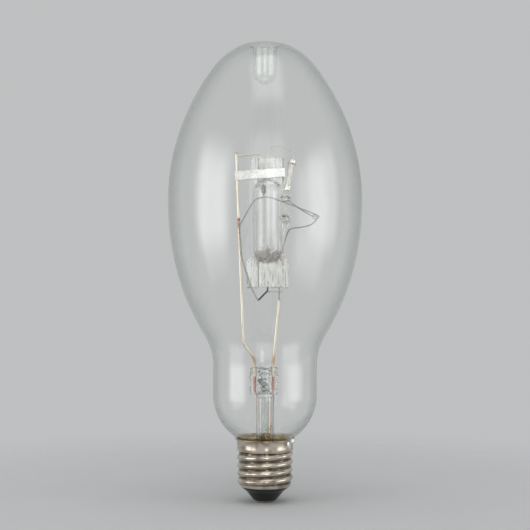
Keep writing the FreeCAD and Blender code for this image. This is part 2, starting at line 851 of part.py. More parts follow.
def lead_in_wires():
    """The wires from the press up to the mount and down to the cap."""
    left, right = size("left_lead"), size("right_lead")
    low, high, press = size("dumet_foot"), size("dumet_top"), size("press_top")
    inner, copper = size("inner_lead"), size("copper_wire")
    stub, neck_in = size("lead_stub"), size("press_foot - lead_neck")
    channel = size("tail_radius + root_radius - shell_wall") / 2
    foot, lip = size("tail_foot"), size("lip_height")
    edge, over = size("lip_radius"), size("lead_overhang")
    wires = {
        "support_wire": bent_wire(
            "support_wire",
            "mount_wire",
            [
                (left, 0, high),
                (left, 0, press + size("support_rise")),
                (size("support_reach"), 0, size("support_bend")),
                (size("support_top_reach"), 0, size("support_top")),
            ],
            5.0,
        ),
        "short_lead": bent_wire(
            "short_lead",
            "mount_wire",
            [
                (right, 0, high),
                (right, 0, press + size("short_lead_rise")),
                (size("short_lead_reach"), 0, size("low_pinch_foot - short_lead_gap")),
            ],
            20.0,
        ),
        "left_seal_wire": bent_wire("left_seal_wire", "dumet_wire", [(left, 0, low), (left, 0, high)], 1.0),
        "right_seal_wire": bent_wire(
            "right_seal_wire", "dumet_wire", [(right, 0, low), (right, 0, high)], 1.0
        ),
        "centre_contact_lead": bent_wire(
            "centre_contact_lead",
            "copper_wire",
            [
                (left, 0, low),
                (left, 0, low - stub),
                (-inner, 0, neck_in),
                (-inner, 0, foot - inner),
                (0, 0, size("insulator_top") - over),
                (0, 0, copper / 2),
            ],
            1.5,
        ),
        "shell_contact_lead": bent_wire(
            "shell_contact_lead",
            "copper_wire",
            [
                (right, 0, low),
                (right, 0, low - stub),
                (inner, 0, neck_in),
                (inner, 0, foot + inner),
                around_axis(channel, foot - inner),
                around_axis(channel, lip - over * 6),
                around_axis(edge - over * 3.25, lip - over),
                around_axis(edge - over * 0.25, lip + over * 0.92),
                around_axis(edge + over, lip + over * 0.17),
                around_axis(edge + over * 0.75, lip - over * 2.5),
            ],
            0.8,
        ),
    }
    return wires


def side_solder(bulb, shell, cement, lead):
    """The solder drop that joins the lead to the outside of the shell's lip."""
    drop = doc.addObject("Part::Ellipsoid", "side_solder_blank")
    drop.Radius1, drop.Radius2, drop.Radius3 = 1.5, 0.95, 1.3
    where = Vector(*around_axis(size("lip_radius"), size("lip_height") - 0.6))
    turn = FreeCAD.Rotation(Vector(0, 0, 1), size("side_angle"))
    drop.Placement = FreeCAD.Placement(where, turn)
    return sealed_round("side_solder", drop, [bulb, shell, cement, lead])


def lower_lead_tip():
    """Where the arc tube's lower lead ends, beside the start of the filament."""
    across = size("tube_offset - lower_lead_reach")
    return (across, -size("arc_lead") / 4, size("low_pinch_foot - lower_lead_drop"))


def mount_wires():
    """The thin wires that join the arc tube, the resistor, the beads and the filament."""
    axis = size("tube_offset")
    pinch_top, pinch_foot = size("high_pinch_top"), size("low_pinch_foot")
    foot, direction = resistor_frame()
    head = foot + direction * size("resistor_length")
    bead_x, bead_y = size("bead_x"), size("bead_y")
    high_bead, low_bead = size("high_bead"), size("low_bead")
    front = -(size("pinch_thickness") / 2 + size("fine_wire"))
    return {
        "upper_arc_lead": bent_wire(
            "upper_arc_lead",
            "arc_lead",
            [
                (axis - 3.4, 0, size("high_foil_top")),
                (axis - 3.4, 0, pinch_top + 2.0),
                (size("support_top_reach + (mount_wire + arc_lead) / 2") + 0.1, 0, pinch_top + 1.0),
            ],
            1.6,
        ),
        "starting_lead": bent_wire(
            "starting_lead",
            "fine_wire",
            [
                (axis + 0.1, 0, size("high_foil_top")),
                (axis + 0.1, 0, pinch_top + 4.6),
                (axis + 5.2, -0.4, pinch_top + 5.6),
                tuple(head + direction * 4.6 - Vector(2.2, 0, 0)),
                tuple(head + direction * 2.6),
                tuple(head),
            ],
            2.4,
        ),
        "lower_arc_lead": bent_wire(
            "lower_arc_lead",
            "arc_lead",
            [(axis, 0, size("low_foil_foot")), (axis, 0, pinch_foot - 0.9), lower_lead_tip()],
            1.2,
        ),
        "resistor_return_lead": bent_wire(
            "resistor_return_lead",
            "fine_wire",
            [
                tuple(foot),
                tuple(foot - direction * 0.9),
                (bead_x, bead_y, high_bead),
                (bead_x - 0.1, bead_y, low_bead),
                (bead_x - 1.1, bead_y, low_bead - 7.0),
                (bead_x - 1.0, front, size("low_pinch_top") + 1.2),
                (bead_x - 1.0, front, pinch_foot - 1.2),
                (axis + 0.9, -0.2, pinch_foot - 1.5),
            ],
            2.0,
        ),
        "right_filament_hook": bent_wire(
            "right_filament_hook",
            "fine_wire",
            [
                (bead_x + 0.6, bead_y, high_bead - 0.6),
                (bead_x + 6.6, bead_y + 0.7, high_bead - 5.2),
                (size("right_hook_reach") - 2.4, -1.7, size("right_hook_height") + 0.3),
                (size("right_hook_reach"), -1.4, size("right_hook_height")),
                (size("right_hook_reach"), 0.8, size("right_hook_height") + 0.1),
            ],
            1.6,
        ),
    }


def past_peg(before, peg, after, reach):
    """The corner of a wire that is bent round a peg along Y, at a reach from the peg's axis."""
    before, peg, after = Vector(*before), Vector(*peg), Vector(*after)
    corner = peg
    for _ in range(4):
        back, on = before - corner, after - corner
        back.y = on.y = 0
        back.normalize()
        on.normalize()
        half = back.getAngle(on) / 2
        corner = peg - (back + on).normalize() * (reach / math.sin(half))
    return (*corner, reach)


def support_wire_x(height):
    """Where the support wire's straight run stands at a height."""
    share = (height - size("support_bend")) / size("support_top - support_bend")
    return size("support_reach") + share * size("support_top_reach - support_reach")


def left_filament_hook():
    """A short tungsten wire welded to the front of the support wire, which holds the filament."""
    height = size("left_hook_height")
    wire_x = support_wire_x(height)
    peg_x = wire_x + size("left_hook_gap")
    return bent_wire(
        "left_filament_hook",
        "fine_wire",
        [
            (wire_x, -size("mount_wire") / 2, height),
            (wire_x, -size("mount_wire") / 2 - 0.4, height),
            (peg_x, -1.7, height),
            (peg_x, -4.6, height),
        ],
        0.8,
    )


def filament():
    """The ballast filament, from the lower arc tube lead round the arc tube to the short lead."""
    gap = size("hook_gap")
    reach = size("fine_wire + filament") / 2 + gap
    rise = size("left_hook_height")
    left_peg = (support_wire_x(rise) + size("left_hook_gap"), -3.5, rise)
    right_peg = (size("right_hook_reach"), -0.5, size("right_hook_height"))
    loop = size("tube_radius + loop_gap")
    spread = size("right_hook_reach - tube_offset") - loop
    tip_x, tip_y, tip_z = lower_lead_tip()
    first = (tip_x - gap * 3, tip_y - size("arc_lead + filament") / 2 - gap, tip_z + gap * 4)
    last = (
        size("short_lead_reach"),
        size("mount_wire + filament") / 2 + gap,
        size("low_pinch_foot - short_lead_gap") - size("mount_wire") * 0.4,
    )
    top = right_peg[2] + size("loop_rise")
    back = right_peg[2] - size("loop_return")

    def rising(across, along, up):
        """A point between the filament's start and the left hook, as shares of the way."""
        return tuple(a + (b - a) * share for a, b, share in zip(first, left_peg, (across, along, up)))

    def strand(angle, out, height):
        """A point round the arc tube's axis. Out is 0 on the loop and 1 at the right hook."""
        radius, turn = loop + out * spread, math.radians(angle)
        return (size("tube_offset") + radius * math.cos(turn), radius * math.sin(turn), height)

    left = [first, rising(0.3, 0.8, 0.12), rising(0.67, 1.2, 0.37), rising(0.97, 0.96, 0.59)]
    front = [
        strand(angle, out, top - share * size("loop_rise"))
        for angle, out, share in (
            (-126, 0.02, 0.11),
            (-89, -0.03, 0.0),
            (-47, 0.02, 0.27),
            (-19, 0.3, 0.49),
            (-6.3, 0.78, 0.79),
        )
    ]
    under = [
        strand(angle, out, right_peg[2] - share * size("loop_return"))
        for angle, out, share in ((-1.7, 0.8, 0.72), (-3.5, 0.37, 0.92), (-7.7, 0.05, 1.0))
    ]
    down = [
        strand(angle, out, back + share * (last[2] - back))
        for angle, out, share in ((18, -0.01, 0.06), (52, 0.04, 0.34), (41, -0.17, 0.72))
    ]
    route = left + [past_peg(left[-1], left_peg, front[0], reach)]
    route += front + [past_peg(front[-1], right_peg, under[0], reach)] + under + down + [last]
    return bent_wire("filament", "filament", route, 2.2)


def resistor_hanger():
    """A ring clipped round the resistor's head, with a wire down to the upper bead."""
    foot, direction = resistor_frame()
    ring_radius = size("resistor_radius + resistor_cap_wall + fine_wire / 2 + hanger_gap")
    middle = foot + direction * size("resistor_length - hanger_drop")
    ring = doc.addObject("Part::Torus", "hanger_ring")
    ring.Radius1 = ring_radius
    ring.setExpression("Radius2", named("fine_wire / 2"))
    ring.Placement = FreeCAD.Placement(middle, FreeCAD.Rotation(Vector(0, 0, 1), direction))
    beside = direction.cross(Vector(0, 1, 0)).normalize() * (ring_radius + size("fine_wire") / 4)
    weld = middle + beside + direction * size("fine_wire") / 2
    bead = size("bead_radius")
    bead_top = (size("bead_x") - bead * 0.54, size("bead_y") + bead * 0.1, size("high_bead") + bead * 0.63)
    strap_corner = (
        size("tube_offset + high_pinch_width / 2 + strap_gap + strap_thickness + fine_wire") + 0.15,
        -size("pinch_thickness / 2 + strap_gap + strap_thickness + fine_wire") - 0.35,
        size("strap_middle - strap_height / 2"),
    )
    over_bead = (bead_top[0] - size("fine_wire") / 4, bead_top[1], bead_top[2] + bead * 1.66)
    wire = bent_wire(
        "hanger_wire",
        "fine_wire",
        [tuple(weld), strap_corner, over_bead, bead_top],
        4.0,
    )
    return fused("resistor_hanger", [ring, wire])


def build_lamp():
    bulb = outer_bulb()
    shell = cap_shell()
    leads = lead_in_wires()
    joins = mount_wires()
    foils = {
        "upper_main_foil": foil("upper_main_foil", "-2.6", "main_foil", "high_foil_foot", "high_foil_top"),
        "starting_foil": foil("starting_foil", "0.8", "starting_foil", "high_foil_foot", "high_foil_top"),
        "lower_main_foil": foil("lower_main_foil", "0", "main_foil", "low_foil_foot", "low_foil_top"),
    }
    electrodes = {
        "upper_electrode": electrode("upper_electrode", "-1.8", "high_foil_foot", "high_electrode_tip", -1),
        "lower_electrode": electrode("lower_electrode", "0", "low_foil_top", "low_electrode_tip", 1),
        "starting_electrode": rod(
            "starting_electrode", "1.3", "starting_rod", "starting_tip", "high_foil_foot"
        ),
    }
    arc_contents = list(foils.values()) + list(electrodes.values())
    arc_contents += [joins["upper_arc_lead"], joins["starting_lead"], joins["lower_arc_lead"]]
    joins["left_filament_hook"] = left_filament_hook()
    joins["resistor_hanger"] = resistor_hanger()
    joins["filament"] = filament()
    upper = [joins[name] for name in ("resistor_return_lead", "right_filament_hook", "resistor_hanger")]
    beads = {
        "upper_bead": bead("upper_bead", "high_bead", upper),
        "lower_bead": bead("lower_bead", "low_bead", [joins["resistor_return_lead"]]),
    }
    cement = cap_cement(bulb, shell, leads["shell_contact_lead"])
    pieces = [
        bulb,
        stem_glass(list(leads.values())),
        exhaust_tube(),
        shell,
        cement,
        cap_insulator(shell, leads["centre_contact_lead"]),
        centre_contact(),
        centre_solder(leads["centre_contact_lead"]),
        side_solder(bulb, shell, cement, leads["shell_contact_lead"]),
        arc_tube(arc_contents),
        mercury_drops(),
        arc_tube_strap(),
        starting_resistor(),
        resistor_cap("resistor_foot_cap", "0", 1),
        resistor_cap("resistor_head_cap", "resistor_length", -1),
    ]
    for group in (leads, joins, foils, electrodes, beads):
        pieces += group.values()
    return pieces


def check(pieces):
    doc.recompute()
    for item in doc.Objects:
        if {"Invalid", "Error"} & set(item.State):
            raise RuntimeError(f"{item.Label} did not build: {item.State}")
    for piece in pieces:
        if piece.Shape.isNull() or not piece.Shape.isValid():
            raise RuntimeError(f"{piece.Label} has no valid shape")


pieces = build_lamp()
check(pieces)
os.makedirs("parts", exist_ok=True)
for piece in pieces:
    piece.Shape.exportStep(f"parts/{piece.Label}.step")
    print(piece.Label, len(piece.Shape.Solids), round(piece.Shape.Volume, 2))
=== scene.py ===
import json
import math

import bmesh
import bpy
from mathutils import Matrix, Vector, noise


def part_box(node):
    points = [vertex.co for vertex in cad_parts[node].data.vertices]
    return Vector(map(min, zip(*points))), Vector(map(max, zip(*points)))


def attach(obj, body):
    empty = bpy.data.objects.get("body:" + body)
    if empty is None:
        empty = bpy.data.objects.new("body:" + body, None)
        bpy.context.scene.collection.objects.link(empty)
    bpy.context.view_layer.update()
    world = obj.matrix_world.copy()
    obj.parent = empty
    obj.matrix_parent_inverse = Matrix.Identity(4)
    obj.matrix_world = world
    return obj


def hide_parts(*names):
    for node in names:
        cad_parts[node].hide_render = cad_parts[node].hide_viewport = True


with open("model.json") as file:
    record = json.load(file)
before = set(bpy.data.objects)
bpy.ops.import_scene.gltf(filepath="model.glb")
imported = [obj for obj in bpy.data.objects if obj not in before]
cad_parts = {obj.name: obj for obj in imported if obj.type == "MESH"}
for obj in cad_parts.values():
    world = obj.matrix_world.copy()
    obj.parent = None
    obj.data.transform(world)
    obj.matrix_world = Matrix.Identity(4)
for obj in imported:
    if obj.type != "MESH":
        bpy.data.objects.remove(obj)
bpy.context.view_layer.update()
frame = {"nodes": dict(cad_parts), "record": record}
scene = bpy.context.scene
MM = 0.001

# The view of the photograph: level, from the front, with the whole lamp upright in the frame
CAMERA_HEIGHT = 110.4 * MM
CAMERA_DISTANCE = 640 * MM
HALF_WIDTH = 123.7 * MM

# The pale tone that the floor runs out into, and that the world shows. The floor's radii are in metres
BACKDROP = (0.52, 0.525, 0.53)
FLOOR_RADIUS = 0.4
FLOOR_FADE = (0.08, 0.30)

# The studio: bearing from the front and elevation in degrees, distance and size in metres, and glow
SOFT_BOXES = (
    ("left_box", -64, 8, 0.95, (1.1, 1.05), 1.75),
    ("right_box", 72, 6, 1.0, (1.0, 1.0), 1.5),
    ("front_box", 2, 21, 0.9, (0.9, 0.8), 0.95),
    ("front_strip", 7, 5, 0.9, (0.20, 0.8), 1.8),
    ("top_box", 8, 74, 1.0, (0.8, 0.8), 1.3),
)
TOP_LIGHT = (10, 82, 1.0)
TOP_LIGHT_SIZE = 0.7
TOP_LIGHT_WATTS = 1.7

# The blown bulb, in millimetres
BULB_RADIUS = 45.2
DOME_TOP = 214.8
DOME_RADIUS = 29.0
BELT_TOP = 140.0
BELT_FOOT = 138.0
SHOULDER_RADIUS = 28.1
SHOULDER_HEIGHT = 63.0
NECK_RADIUS = 24.1
BOWL_HEIGHT = 50.0
TAIL_RADIUS = 10.9
TAIL_FILLET = 2.4
TAIL_FOOT = 16.5
DIMPLE_RADIUS = 4.6
DIMPLE_MOUTH = 3.0
DIMPLE_DEPTH = 20.2
GLASS_WALL = 0.9

# The screw cap, in millimetres. The first crest of its thread starts at the back
CREST_RADIUS = 13.15
ROOT_RADIUS = 12.13
THREAD_PITCH = 3.629
THREAD_START = 9.0
THREAD_TURNS = 3.85
THREAD_FOOT = 8.4
THREAD_TOP = 23.4
SHELL_WALL = 0.3

# The solder on the collar: in degrees from the right, below zero to the front, then in millimetres
SOLDER_BEARING = -33.0
SOLDER_REACH = 13.1
SOLDER_MIDDLE = 27.4
SOLDER_THICK = 0.55
SOLDER_ALONG = 1.5
SOLDER_UP = 2.1

# The stem, in millimetres
STEM_RADIUS = 4.2
STEM_WALL = 0.9
FLARE_RADIUS = 5.5
FLARE_FOOT = 1.5
PRESS_FOOT = 50.6
PRESS_TOP = 62.8
PRESS_FLOOR = 1.6
PRESS_WEB = 3.0
PRESS_LOBE = 2.25
LOBE_EDGE = 0.8
LEFT_LEAD = -4.75
RIGHT_LEAD = 3.75

# The curled slack of the side lead, in millimetres
CURL_MIDDLE = (1.15, -2.4, 33.4)
CURL_RADIUS = 1.0
CURL_TURNS = 1.75
CURL_DROP = 3.2
CURL_WIRE = 0.25

# The arc tube, in millimetres. Each pinch has its foot, its top and its width
TUBE_OFFSET = 1.2
TUBE_RADIUS = 6.6
TUBE_WALL = 1.0
CHAMBER_LOW = 117.9
CHAMBER_HIGH = 143.9
LOW_PINCH = (99.4, 114.3, 19.8)
HIGH_PINCH = (147.2, 160.3, 15.4)
PINCH_ROUND = 2.8
RIB_WIDTH = 3.3
RIB_HALF = 1.75
WEB_HALF = 1.2
JAW_LINES = (-4.3, 7.2)
UNDER_STRAP = (150, 157)

# Each look or mark of the arc tube, and the painted shade in the roots of the cap's thread, grows from one
# height to the other
FROST_LOW = (114.4, 111.8)
FROST_HIGH = (147.0, 148.8)
SOOT_TOP = (119.6, 114.8)
SOOT_FOOT = (110.2, 112.2)
BROWN_FOOT = (100.6, 99.6)
JAWS_LOW = (114.5, 112)
JAWS_HIGH = (147, 149.5)
FLOW_LOW = (119, 115)
FLOW_HIGH = (142.5, 146)
WAVY_FOOT = (102.5, 99.2)
WAVY_TOP = (158.3, 160.4)
ROOT_SHADE_TOP = (25.6, 24.6)
ROOT_SHADE_FOOT = (8.2, 9.4)

# The electrodes, in millimetres: wound between two distances from the tip, with radius, pitch and wire
WOUND_FROM = 4.7
WOUND_TO = 1.0
ROD_RADIUS = 0.4
INNER_WINDING = (0.72, 0.62, 0.29)
OUTER_WINDING = (0.98, -0.5, 0.25)

# The starting resistor and the beads, in millimetres. Each bead has its height and its winding's half height
RESISTOR_FOOT = (10.15, -3.1, 144.6)
RESISTOR_WAY = (0.1889, 0.1417, 0.9717)
RESISTOR_LENGTH = 15.4
BEAD_PLACE = (9.6, -3.5)
BEAD_RADIUS = 1.85
BEADS = (("upper_bead", 141.6, 1.9), ("lower_bead", 131.8, 2.5))
BEAD_TURNS = 6.3
BEAD_WIRE = 0.21
TAIL_WIRE = 0.2
BEAD_TAILS = (
    ((7.9, -3.7, 129.9), (8.2, -3.8, 128.4), (8.75, -3.7, 126.2), (8.6, -3.6, 124.2)),
    ((10.9, -3.7, 130.3), (10.5, -3.9, 128.6), (8.95, -3.8, 126.4), (8.7, -3.8, 125.2)),
)

# The spot welds of the strap, and the welds of the wires with their half width and half height
STRAP_WELDS = ((-12.0, -1.6, 152.6), (-12.0, -1.6, 154.4))
WELDS = (
    (-12.75, -0.1, 161.3, 0.5, 0.5),
    (-3.3, -0.5, 94.1, 0.5, 0.45),
    (1.75, -0.2, 97.9, 0.36, 0.34),
    (6.45, 0.1, 93.7, 0.74, 0.62),
    (-12.45, -0.7, 128.6, 0.42, 0.45),
    (6.5, 0.85, 93.4, 0.42, 0.5),
)

# The right hook's curled end, and the filament's coil and way. A fourth number is the bend at that point
HOOK_END = (24.3, 0.7, 132.98)
HOOK_CURL = 1.05
HOOK_TURNS = 1.4
HOOK_WIRE = 0.19
COIL_RADIUS = 0.27
COIL_PITCH = 0.46
COIL_WIRE = 0.115
FILAMENT_BEND = 5.5
FILAMENT_ROUTE = (
    (-3.44, -1.08, 94.22),
    (-5.75, -3.02, 98.35),
    (-8.61, -3.98, 106.94),
    (-10.92, -3.4, 114.5),
    (-11.84, -3.5, 128.76, 0.68),
    (-4.72, -8.14, 140.95),
    (1.36, -9.4, 141.95),
    (8.06, -7.36, 139.51),
    (14.24, -4.49, 137.52),
    (21.25, -2.21, 134.8),
    (25.47, -0.5, 133.18, 0.68),
    (21.63, -0.61, 128.94),
    (15.89, -0.9, 127.84),
    (11.57, -1.4, 127.4),
    (10.39, 2.99, 125.35),
    (7.56, 8.14, 115.8),
    (6.89, 4.95, 102.83),
    (6.5, 1.13, 93.28),
)

# The heat tints of the support wire: their height and reach in millimetres, and colour
HEAT_TINTS = (
    (129.4, 2.6, (0.50, 0.22, 0.05)),
    (131.6, 1.2, (0.20, 0.10, 0.06)),
    (66.0, 5.0, (0.48, 0.30, 0.17)),
    (162.9, 1.6, (0.45, 0.33, 0.22)),
)

# Plain metals: tone, darker tone, range of roughness, size of the blotches in millimetres, and wear
METALS = {
    "contact_brass": ((0.74, 0.60, 0.36), (0.45, 0.34, 0.2), (0.25, 0.45), 2),
    "solder": ((0.86, 0.86, 0.85), (0.62, 0.62, 0.61), (0.15, 0.45), 0.9, 0.04),
    "fine_nickel": ((0.72, 0.66, 0.57), (0.5, 0.45, 0.38), (0.25, 0.4), 1.5),
    "tungsten": ((0.50, 0.485, 0.47), (0.30, 0.29, 0.28), (0.3, 0.5), 0.8),
    # A near-black nickel for the lower arc lead.
    "near_black_nickel": ((0.10, 0.085, 0.07), (0.04, 0.035, 0.03), (0.3, 0.5), 1.2),
    "seal_wire": ((0.60, 0.30, 0.27), (0.40, 0.17, 0.15), (0.3, 0.5), 1.0),
    "copper_wire": ((0.80, 0.48, 0.32), (0.5, 0.27, 0.16), (0.25, 0.45), 1.5),
    "lacquered_copper": ((0.78, 0.50, 0.18), (0.4, 0.22, 0.07), (0.2, 0.4), 1.0),
    "molybdenum": ((0.46, 0.43, 0.39), (0.3, 0.28, 0.25), (0.4, 0.6), 0.8),
    "pale_nickel": ((0.90, 0.88, 0.85), (0.7, 0.68, 0.65), (0.2, 0.4), 1.5),
}

# The nodes that look different from the rest of their slot
OWN_LOOKS = {
    "lower_arc_lead": "near_black_nickel",
    "upper_arc_lead": "fine_nickel",
    "starting_lead": "fine_nickel",
    "resistor_return_lead": "fine_nickel",
    "resistor_hanger": "fine_nickel",
}


def look_at(obj, target, axis="-Z"):
    obj.rotation_euler = (Vector(target) - obj.location).to_track_quat(axis, "Y").to_euler()


def make_camera():
    data = bpy.data.cameras.new("camera")
    data.angle = 2 * math.atan(HALF_WIDTH / CAMERA_DISTANCE)
    data.clip_start = 0.01
    camera = bpy.data.objects.new("camera", data)
    scene.collection.objects.link(camera)
    camera.location = (0, -CAMERA_DISTANCE, CAMERA_HEIGHT)
    look_at(camera, (0, 0, CAMERA_HEIGHT))
    scene.camera = camera


class Shade:
    """A material with short calls for its nodes."""

    def __init__(self, name):
        self.name = name
        self.material = bpy.data.materials.new(name)
        self.material.use_nodes = True
        self.tree = self.material.node_tree
        self.shader = self.tree.nodes["Principled BSDF"]
        self.output = self.tree.nodes["Material Output"]

    def set(self, **values):
        for name, value in values.items():
            socket = self.shader.inputs[name.replace("_", " ")]
            socket.default_value = (*value, 1) if isinstance(value, tuple) else value
        return self

    def node(self, kind, **values):
        made = self.tree.nodes.new(kind)
        for name, value in values.items():
            if name in made.inputs:
                made.inputs[name].default_value = value
            else:
                setattr(made, name, value)
        return made

    def link(self, source, target):
        self.tree.links.new(source, target)

    def feed(self, value, name):
        """A node's result goes into the named socket of the shader."""
        self.link(value, self.shader.inputs[name])

    def tone(self):
        """The colour that the shader has so far."""
        return self.shader.inputs["Base Color"].links[0].from_socket

    def place(self):
        """The point of the surface in the piece's own frame, in metres."""
        return self.node("ShaderNodeTexCoord").outputs["Object"]

    def noise(self, size, detail=3.0, stretch=(1, 1, 1)):
        """Noise whose blotches are about size millimetres wide."""
        turn = self.node("ShaderNodeMapping")
        turn.inputs["Scale"].default_value = stretch
        self.link(self.place(), turn.inputs["Vector"])
        texture = self.node("ShaderNodeTexNoise", Scale=1 / (size * MM), Detail=detail)
        self.link(turn.outputs["Vector"], texture.inputs["Vector"])
        return texture.outputs["Fac"]

    def spread(self, value, low, high, to_low=0.0, to_high=1.0):
        """A value mapped from one range to another, smoothly and within it."""
        change = self.node("ShaderNodeMapRange", interpolation_type="SMOOTHSTEP")
        for name, number in zip(("From Min", "From Max", "To Min", "To Max"), (low, high, to_low, to_high)):
            change.inputs[name].default_value = number
        self.link(value, change.inputs["Value"])
        return change.outputs["Result"]

    def math(self, how, one, two):
        made = self.node("ShaderNodeMath", operation=how)
        for socket, value in zip(made.inputs, (one, two)):
            if isinstance(value, (int, float)):
                socket.default_value = value
            else:
                self.link(value, socket)
        return made.outputs[0]

    def product(self, *values):
        result = values[0]
        for value in values[1:]:
            result = self.math("MULTIPLY", result, value)
        return result

    def apart(self, value, middle):
        """How far a value is from the middle, to either side."""
        return self.math("ABSOLUTE", self.math("SUBTRACT", value, middle), 0.0)

    def axis(self, name):
        split = self.node("ShaderNodeSeparateXYZ")
        self.link(self.place(), split.inputs[0])
        return split.outputs[name]

    def height(self, low, high):
        """0 at one height and 1 at the other, in millimetres."""
        return self.spread(self.axis("Z"), low * MM, high * MM)

    def radius(self, x=0.0):
        """The distance from an upright axis that stands x millimetres to the right."""
        across = self.math("SUBTRACT", self.axis("X"), x * MM)
        squares = self.math("ADD", self.math("POWER", across, 2.0), self.math("POWER", self.axis("Y"), 2.0))
        return self.math("SQRT", squares, 0.0)

    def blend(self, share, one, two):
        """A colour that goes from one to two. Each is a colour or a socket."""
        mix = self.node("ShaderNodeMix", data_type="RGBA")
        self.link(share, mix.inputs["Factor"])
        for socket, value in zip((mix.inputs[6], mix.inputs[7]), (one, two)):
            if isinstance(value, tuple):
                socket.default_value = (*value, 1)
            else:
                self.link(value, socket)
        return mix.outputs[2]

    def bump(self, value, height):
        """Bump of a height in millimetres."""
        bump = self.node("ShaderNodeBump", Strength=1.0, Distance=height * MM)
        self.link(value, bump.inputs["Height"])
        self.feed(bump.outputs["Normal"], "Normal")
        return self

    def see_through(self, share, tint=(1, 1, 1)):
        """A share of the surface lets everything pass, tinted."""
        clear = self.node("ShaderNodeBsdfTransparent")
        clear.inputs["Color"].default_value = (*tint, 1)
        mix = self.node("ShaderNodeMixShader")
        self.link(share, mix.inputs["Fac"])
        self.link(self.shader.outputs["BSDF"], mix.inputs[1])
        self.link(clear.outputs["BSDF"], mix.inputs[2])
        self.link(mix.outputs["Shader"], self.output.inputs["Surface"])
        return self

    def let_light_through(self, tint, share=1.0):
        """Light falls through the glass, tinted, where a traced ray would be lost in it."""
        shadow = self.node("ShaderNodeLightPath").outputs["Is Shadow Ray"]
        return self.see_through(self.product(shadow, share), tint)


def clear_glass(name, tint, index, smears, waves=0.02, rim=(0.50, 0.55, 0.51), rim_start=0.32):
    """Clear glass with faint smears and the slow waves of a blown or drawn surface."""
    shade = Shade(name).set(Transmission_Weight=1.0, IOR=index, Roughness=0.0)
    if smears:
        shade.feed(shade.spread(shade.noise(9, 5), 0.45, 0.8, 0.0, smears), "Roughness")
    shade.bump(shade.noise(14, 1, (1, 1, 0.35)), waves)
    slant = shade.node("ShaderNodeLayerWeight", Blend=0.5).outputs["Facing"]
    edge = tuple(c * d for c, d in zip(tint, rim))
    shade.feed(shade.blend(shade.spread(slant, rim_start, 1.0), tint, edge), "Base Color")
    return shade.let_light_through(tint)


def stem_glass():
    """Stem glass, with painted shade: dark lines along the folds of the press, and a dark tint on its steep
    facets.
    """
    # The dark rim tint is painted shade that darkens the creases and steep facets of the press.
    shade = clear_glass("stem_glass", (0.96, 0.975, 0.965), 1.53, 0.06, 0.05, (0.16, 0.18, 0.17), 0.25)
    press = shade.height(PRESS_FOOT - 0.2, PRESS_FOOT + 1.2)
    inside = shade.spread(shade.radius((LEFT_LEAD + RIGHT_LEAD) / 2), 4.4 * MM, 3.0 * MM)
    # Painted shade: near-black lines along the folds of the press.
    line = shade.spread(shade.apart(shade.noise(3.4, 2, (1, 1, 1.7)), 0.5), 0.05, 0.012)
    fold = shade.product(press, inside, line)
    shade.feed(shade.blend(fold, shade.tone(), (0.05, 0.055, 0.05)), "Base Color")
    return shade


def quartz():
    """Quartz that is clear round the discharge, frosted in the pinches and sooty at its lower end, with
    painted shade in the jaw grooves and round the pinches' outline.
    """
    shade = Shade("quartz").set(IOR=1.46)
    low = shade.height(*FROST_LOW)
    high = shade.height(*FROST_HIGH)
    pinch = shade.math("MAXIMUM", low, high)
    cloud = shade.spread(shade.noise(2.2, 3, (1, 1, 0.25)), 0.3, 0.6, 0.45, 1.0)
    frost = shade.product(shade.math("MAXIMUM", low, shade.product(high, 0.4)), cloud)
    soot = shade.product(
        shade.height(*SOOT_TOP),
        shade.height(*SOOT_FOOT),
        shade.spread(shade.noise(1.5, 5), 0.40, 0.62, 0.0, 0.8),
        shade.spread(shade.radius(TUBE_OFFSET), 7.0 * MM, 6.5 * MM),
    )
    tone = shade.blend(frost, (0.99, 0.99, 0.985), (0.93, 0.93, 0.91))
    foot = shade.product(shade.height(*BROWN_FOOT), shade.noise(2.0, 3))
    tone = shade.blend(foot, tone, (0.25, 0.17, 0.10))
    # Random streaks, and painted shade that darkens the grooves the jaws leave along the ribs.
    streaks_and_groove_shade = shade.spread(shade.noise(0.9, 3, (1, 1, 0.09)), 0.54, 0.66, 0.0, 0.75)
    across = shade.axis("X")
    for line in JAW_LINES:
        away = shade.apart(across, (TUBE_OFFSET + line) * MM)
        streaks_and_groove_shade = shade.math("MAXIMUM", streaks_and_groove_shade, shade.spread(away, 0.34 * MM, 0.1 * MM, 0.0, 0.9))
    tone = shade.blend(shade.product(pinch, streaks_and_groove_shade), tone, (0.24, 0.235, 0.22))
    # Painted shade: the pinches darken towards their outline as the surface turns away.
    slant = shade.node("ShaderNodeLayerWeight", Blend=0.5).outputs["Facing"]
    outline = shade.product(pinch, shade.spread(slant, 0.5, 0.95, 0.0, 0.9))
    tone = shade.blend(outline, tone, (0.17, 0.165, 0.15))
    shade.feed(shade.blend(soot, tone, (0.19, 0.12, 0.07)), "Base Color")
    opaque = shade.math("MAXIMUM", shade.product(frost, 0.78), soot)
    shade.feed(shade.math("SUBTRACT", 1.0, opaque), "Transmission Weight")
    shade.feed(shade.product(frost, 0.34), "Roughness")
    shade.bump(shade.noise(1.2, 3, (1, 1, 0.3)), 0.03)
    return shade.let_light_through((0.97, 0.97, 0.95), 0.8)


def metal(name, tone, dark, roughness, grain, wear=0.0, stretch=(1, 1, 1)):
    """Bare metal with darker blotches and uneven gloss."""
    shade = Shade(name).set(Metallic=1.0)
    blotch = shade.spread(shade.noise(grain, 5, stretch), 0.42, 0.72)
    shade.feed(shade.blend(blotch, tone, dark), "Base Color")
    shade.feed(shade.spread(shade.noise(grain * 0.6, 4, stretch), 0.3, 0.7, *roughness), "Roughness")
    if wear:
        shade.bump(shade.noise(grain * 0.4, 4, stretch), wear)
    return shade


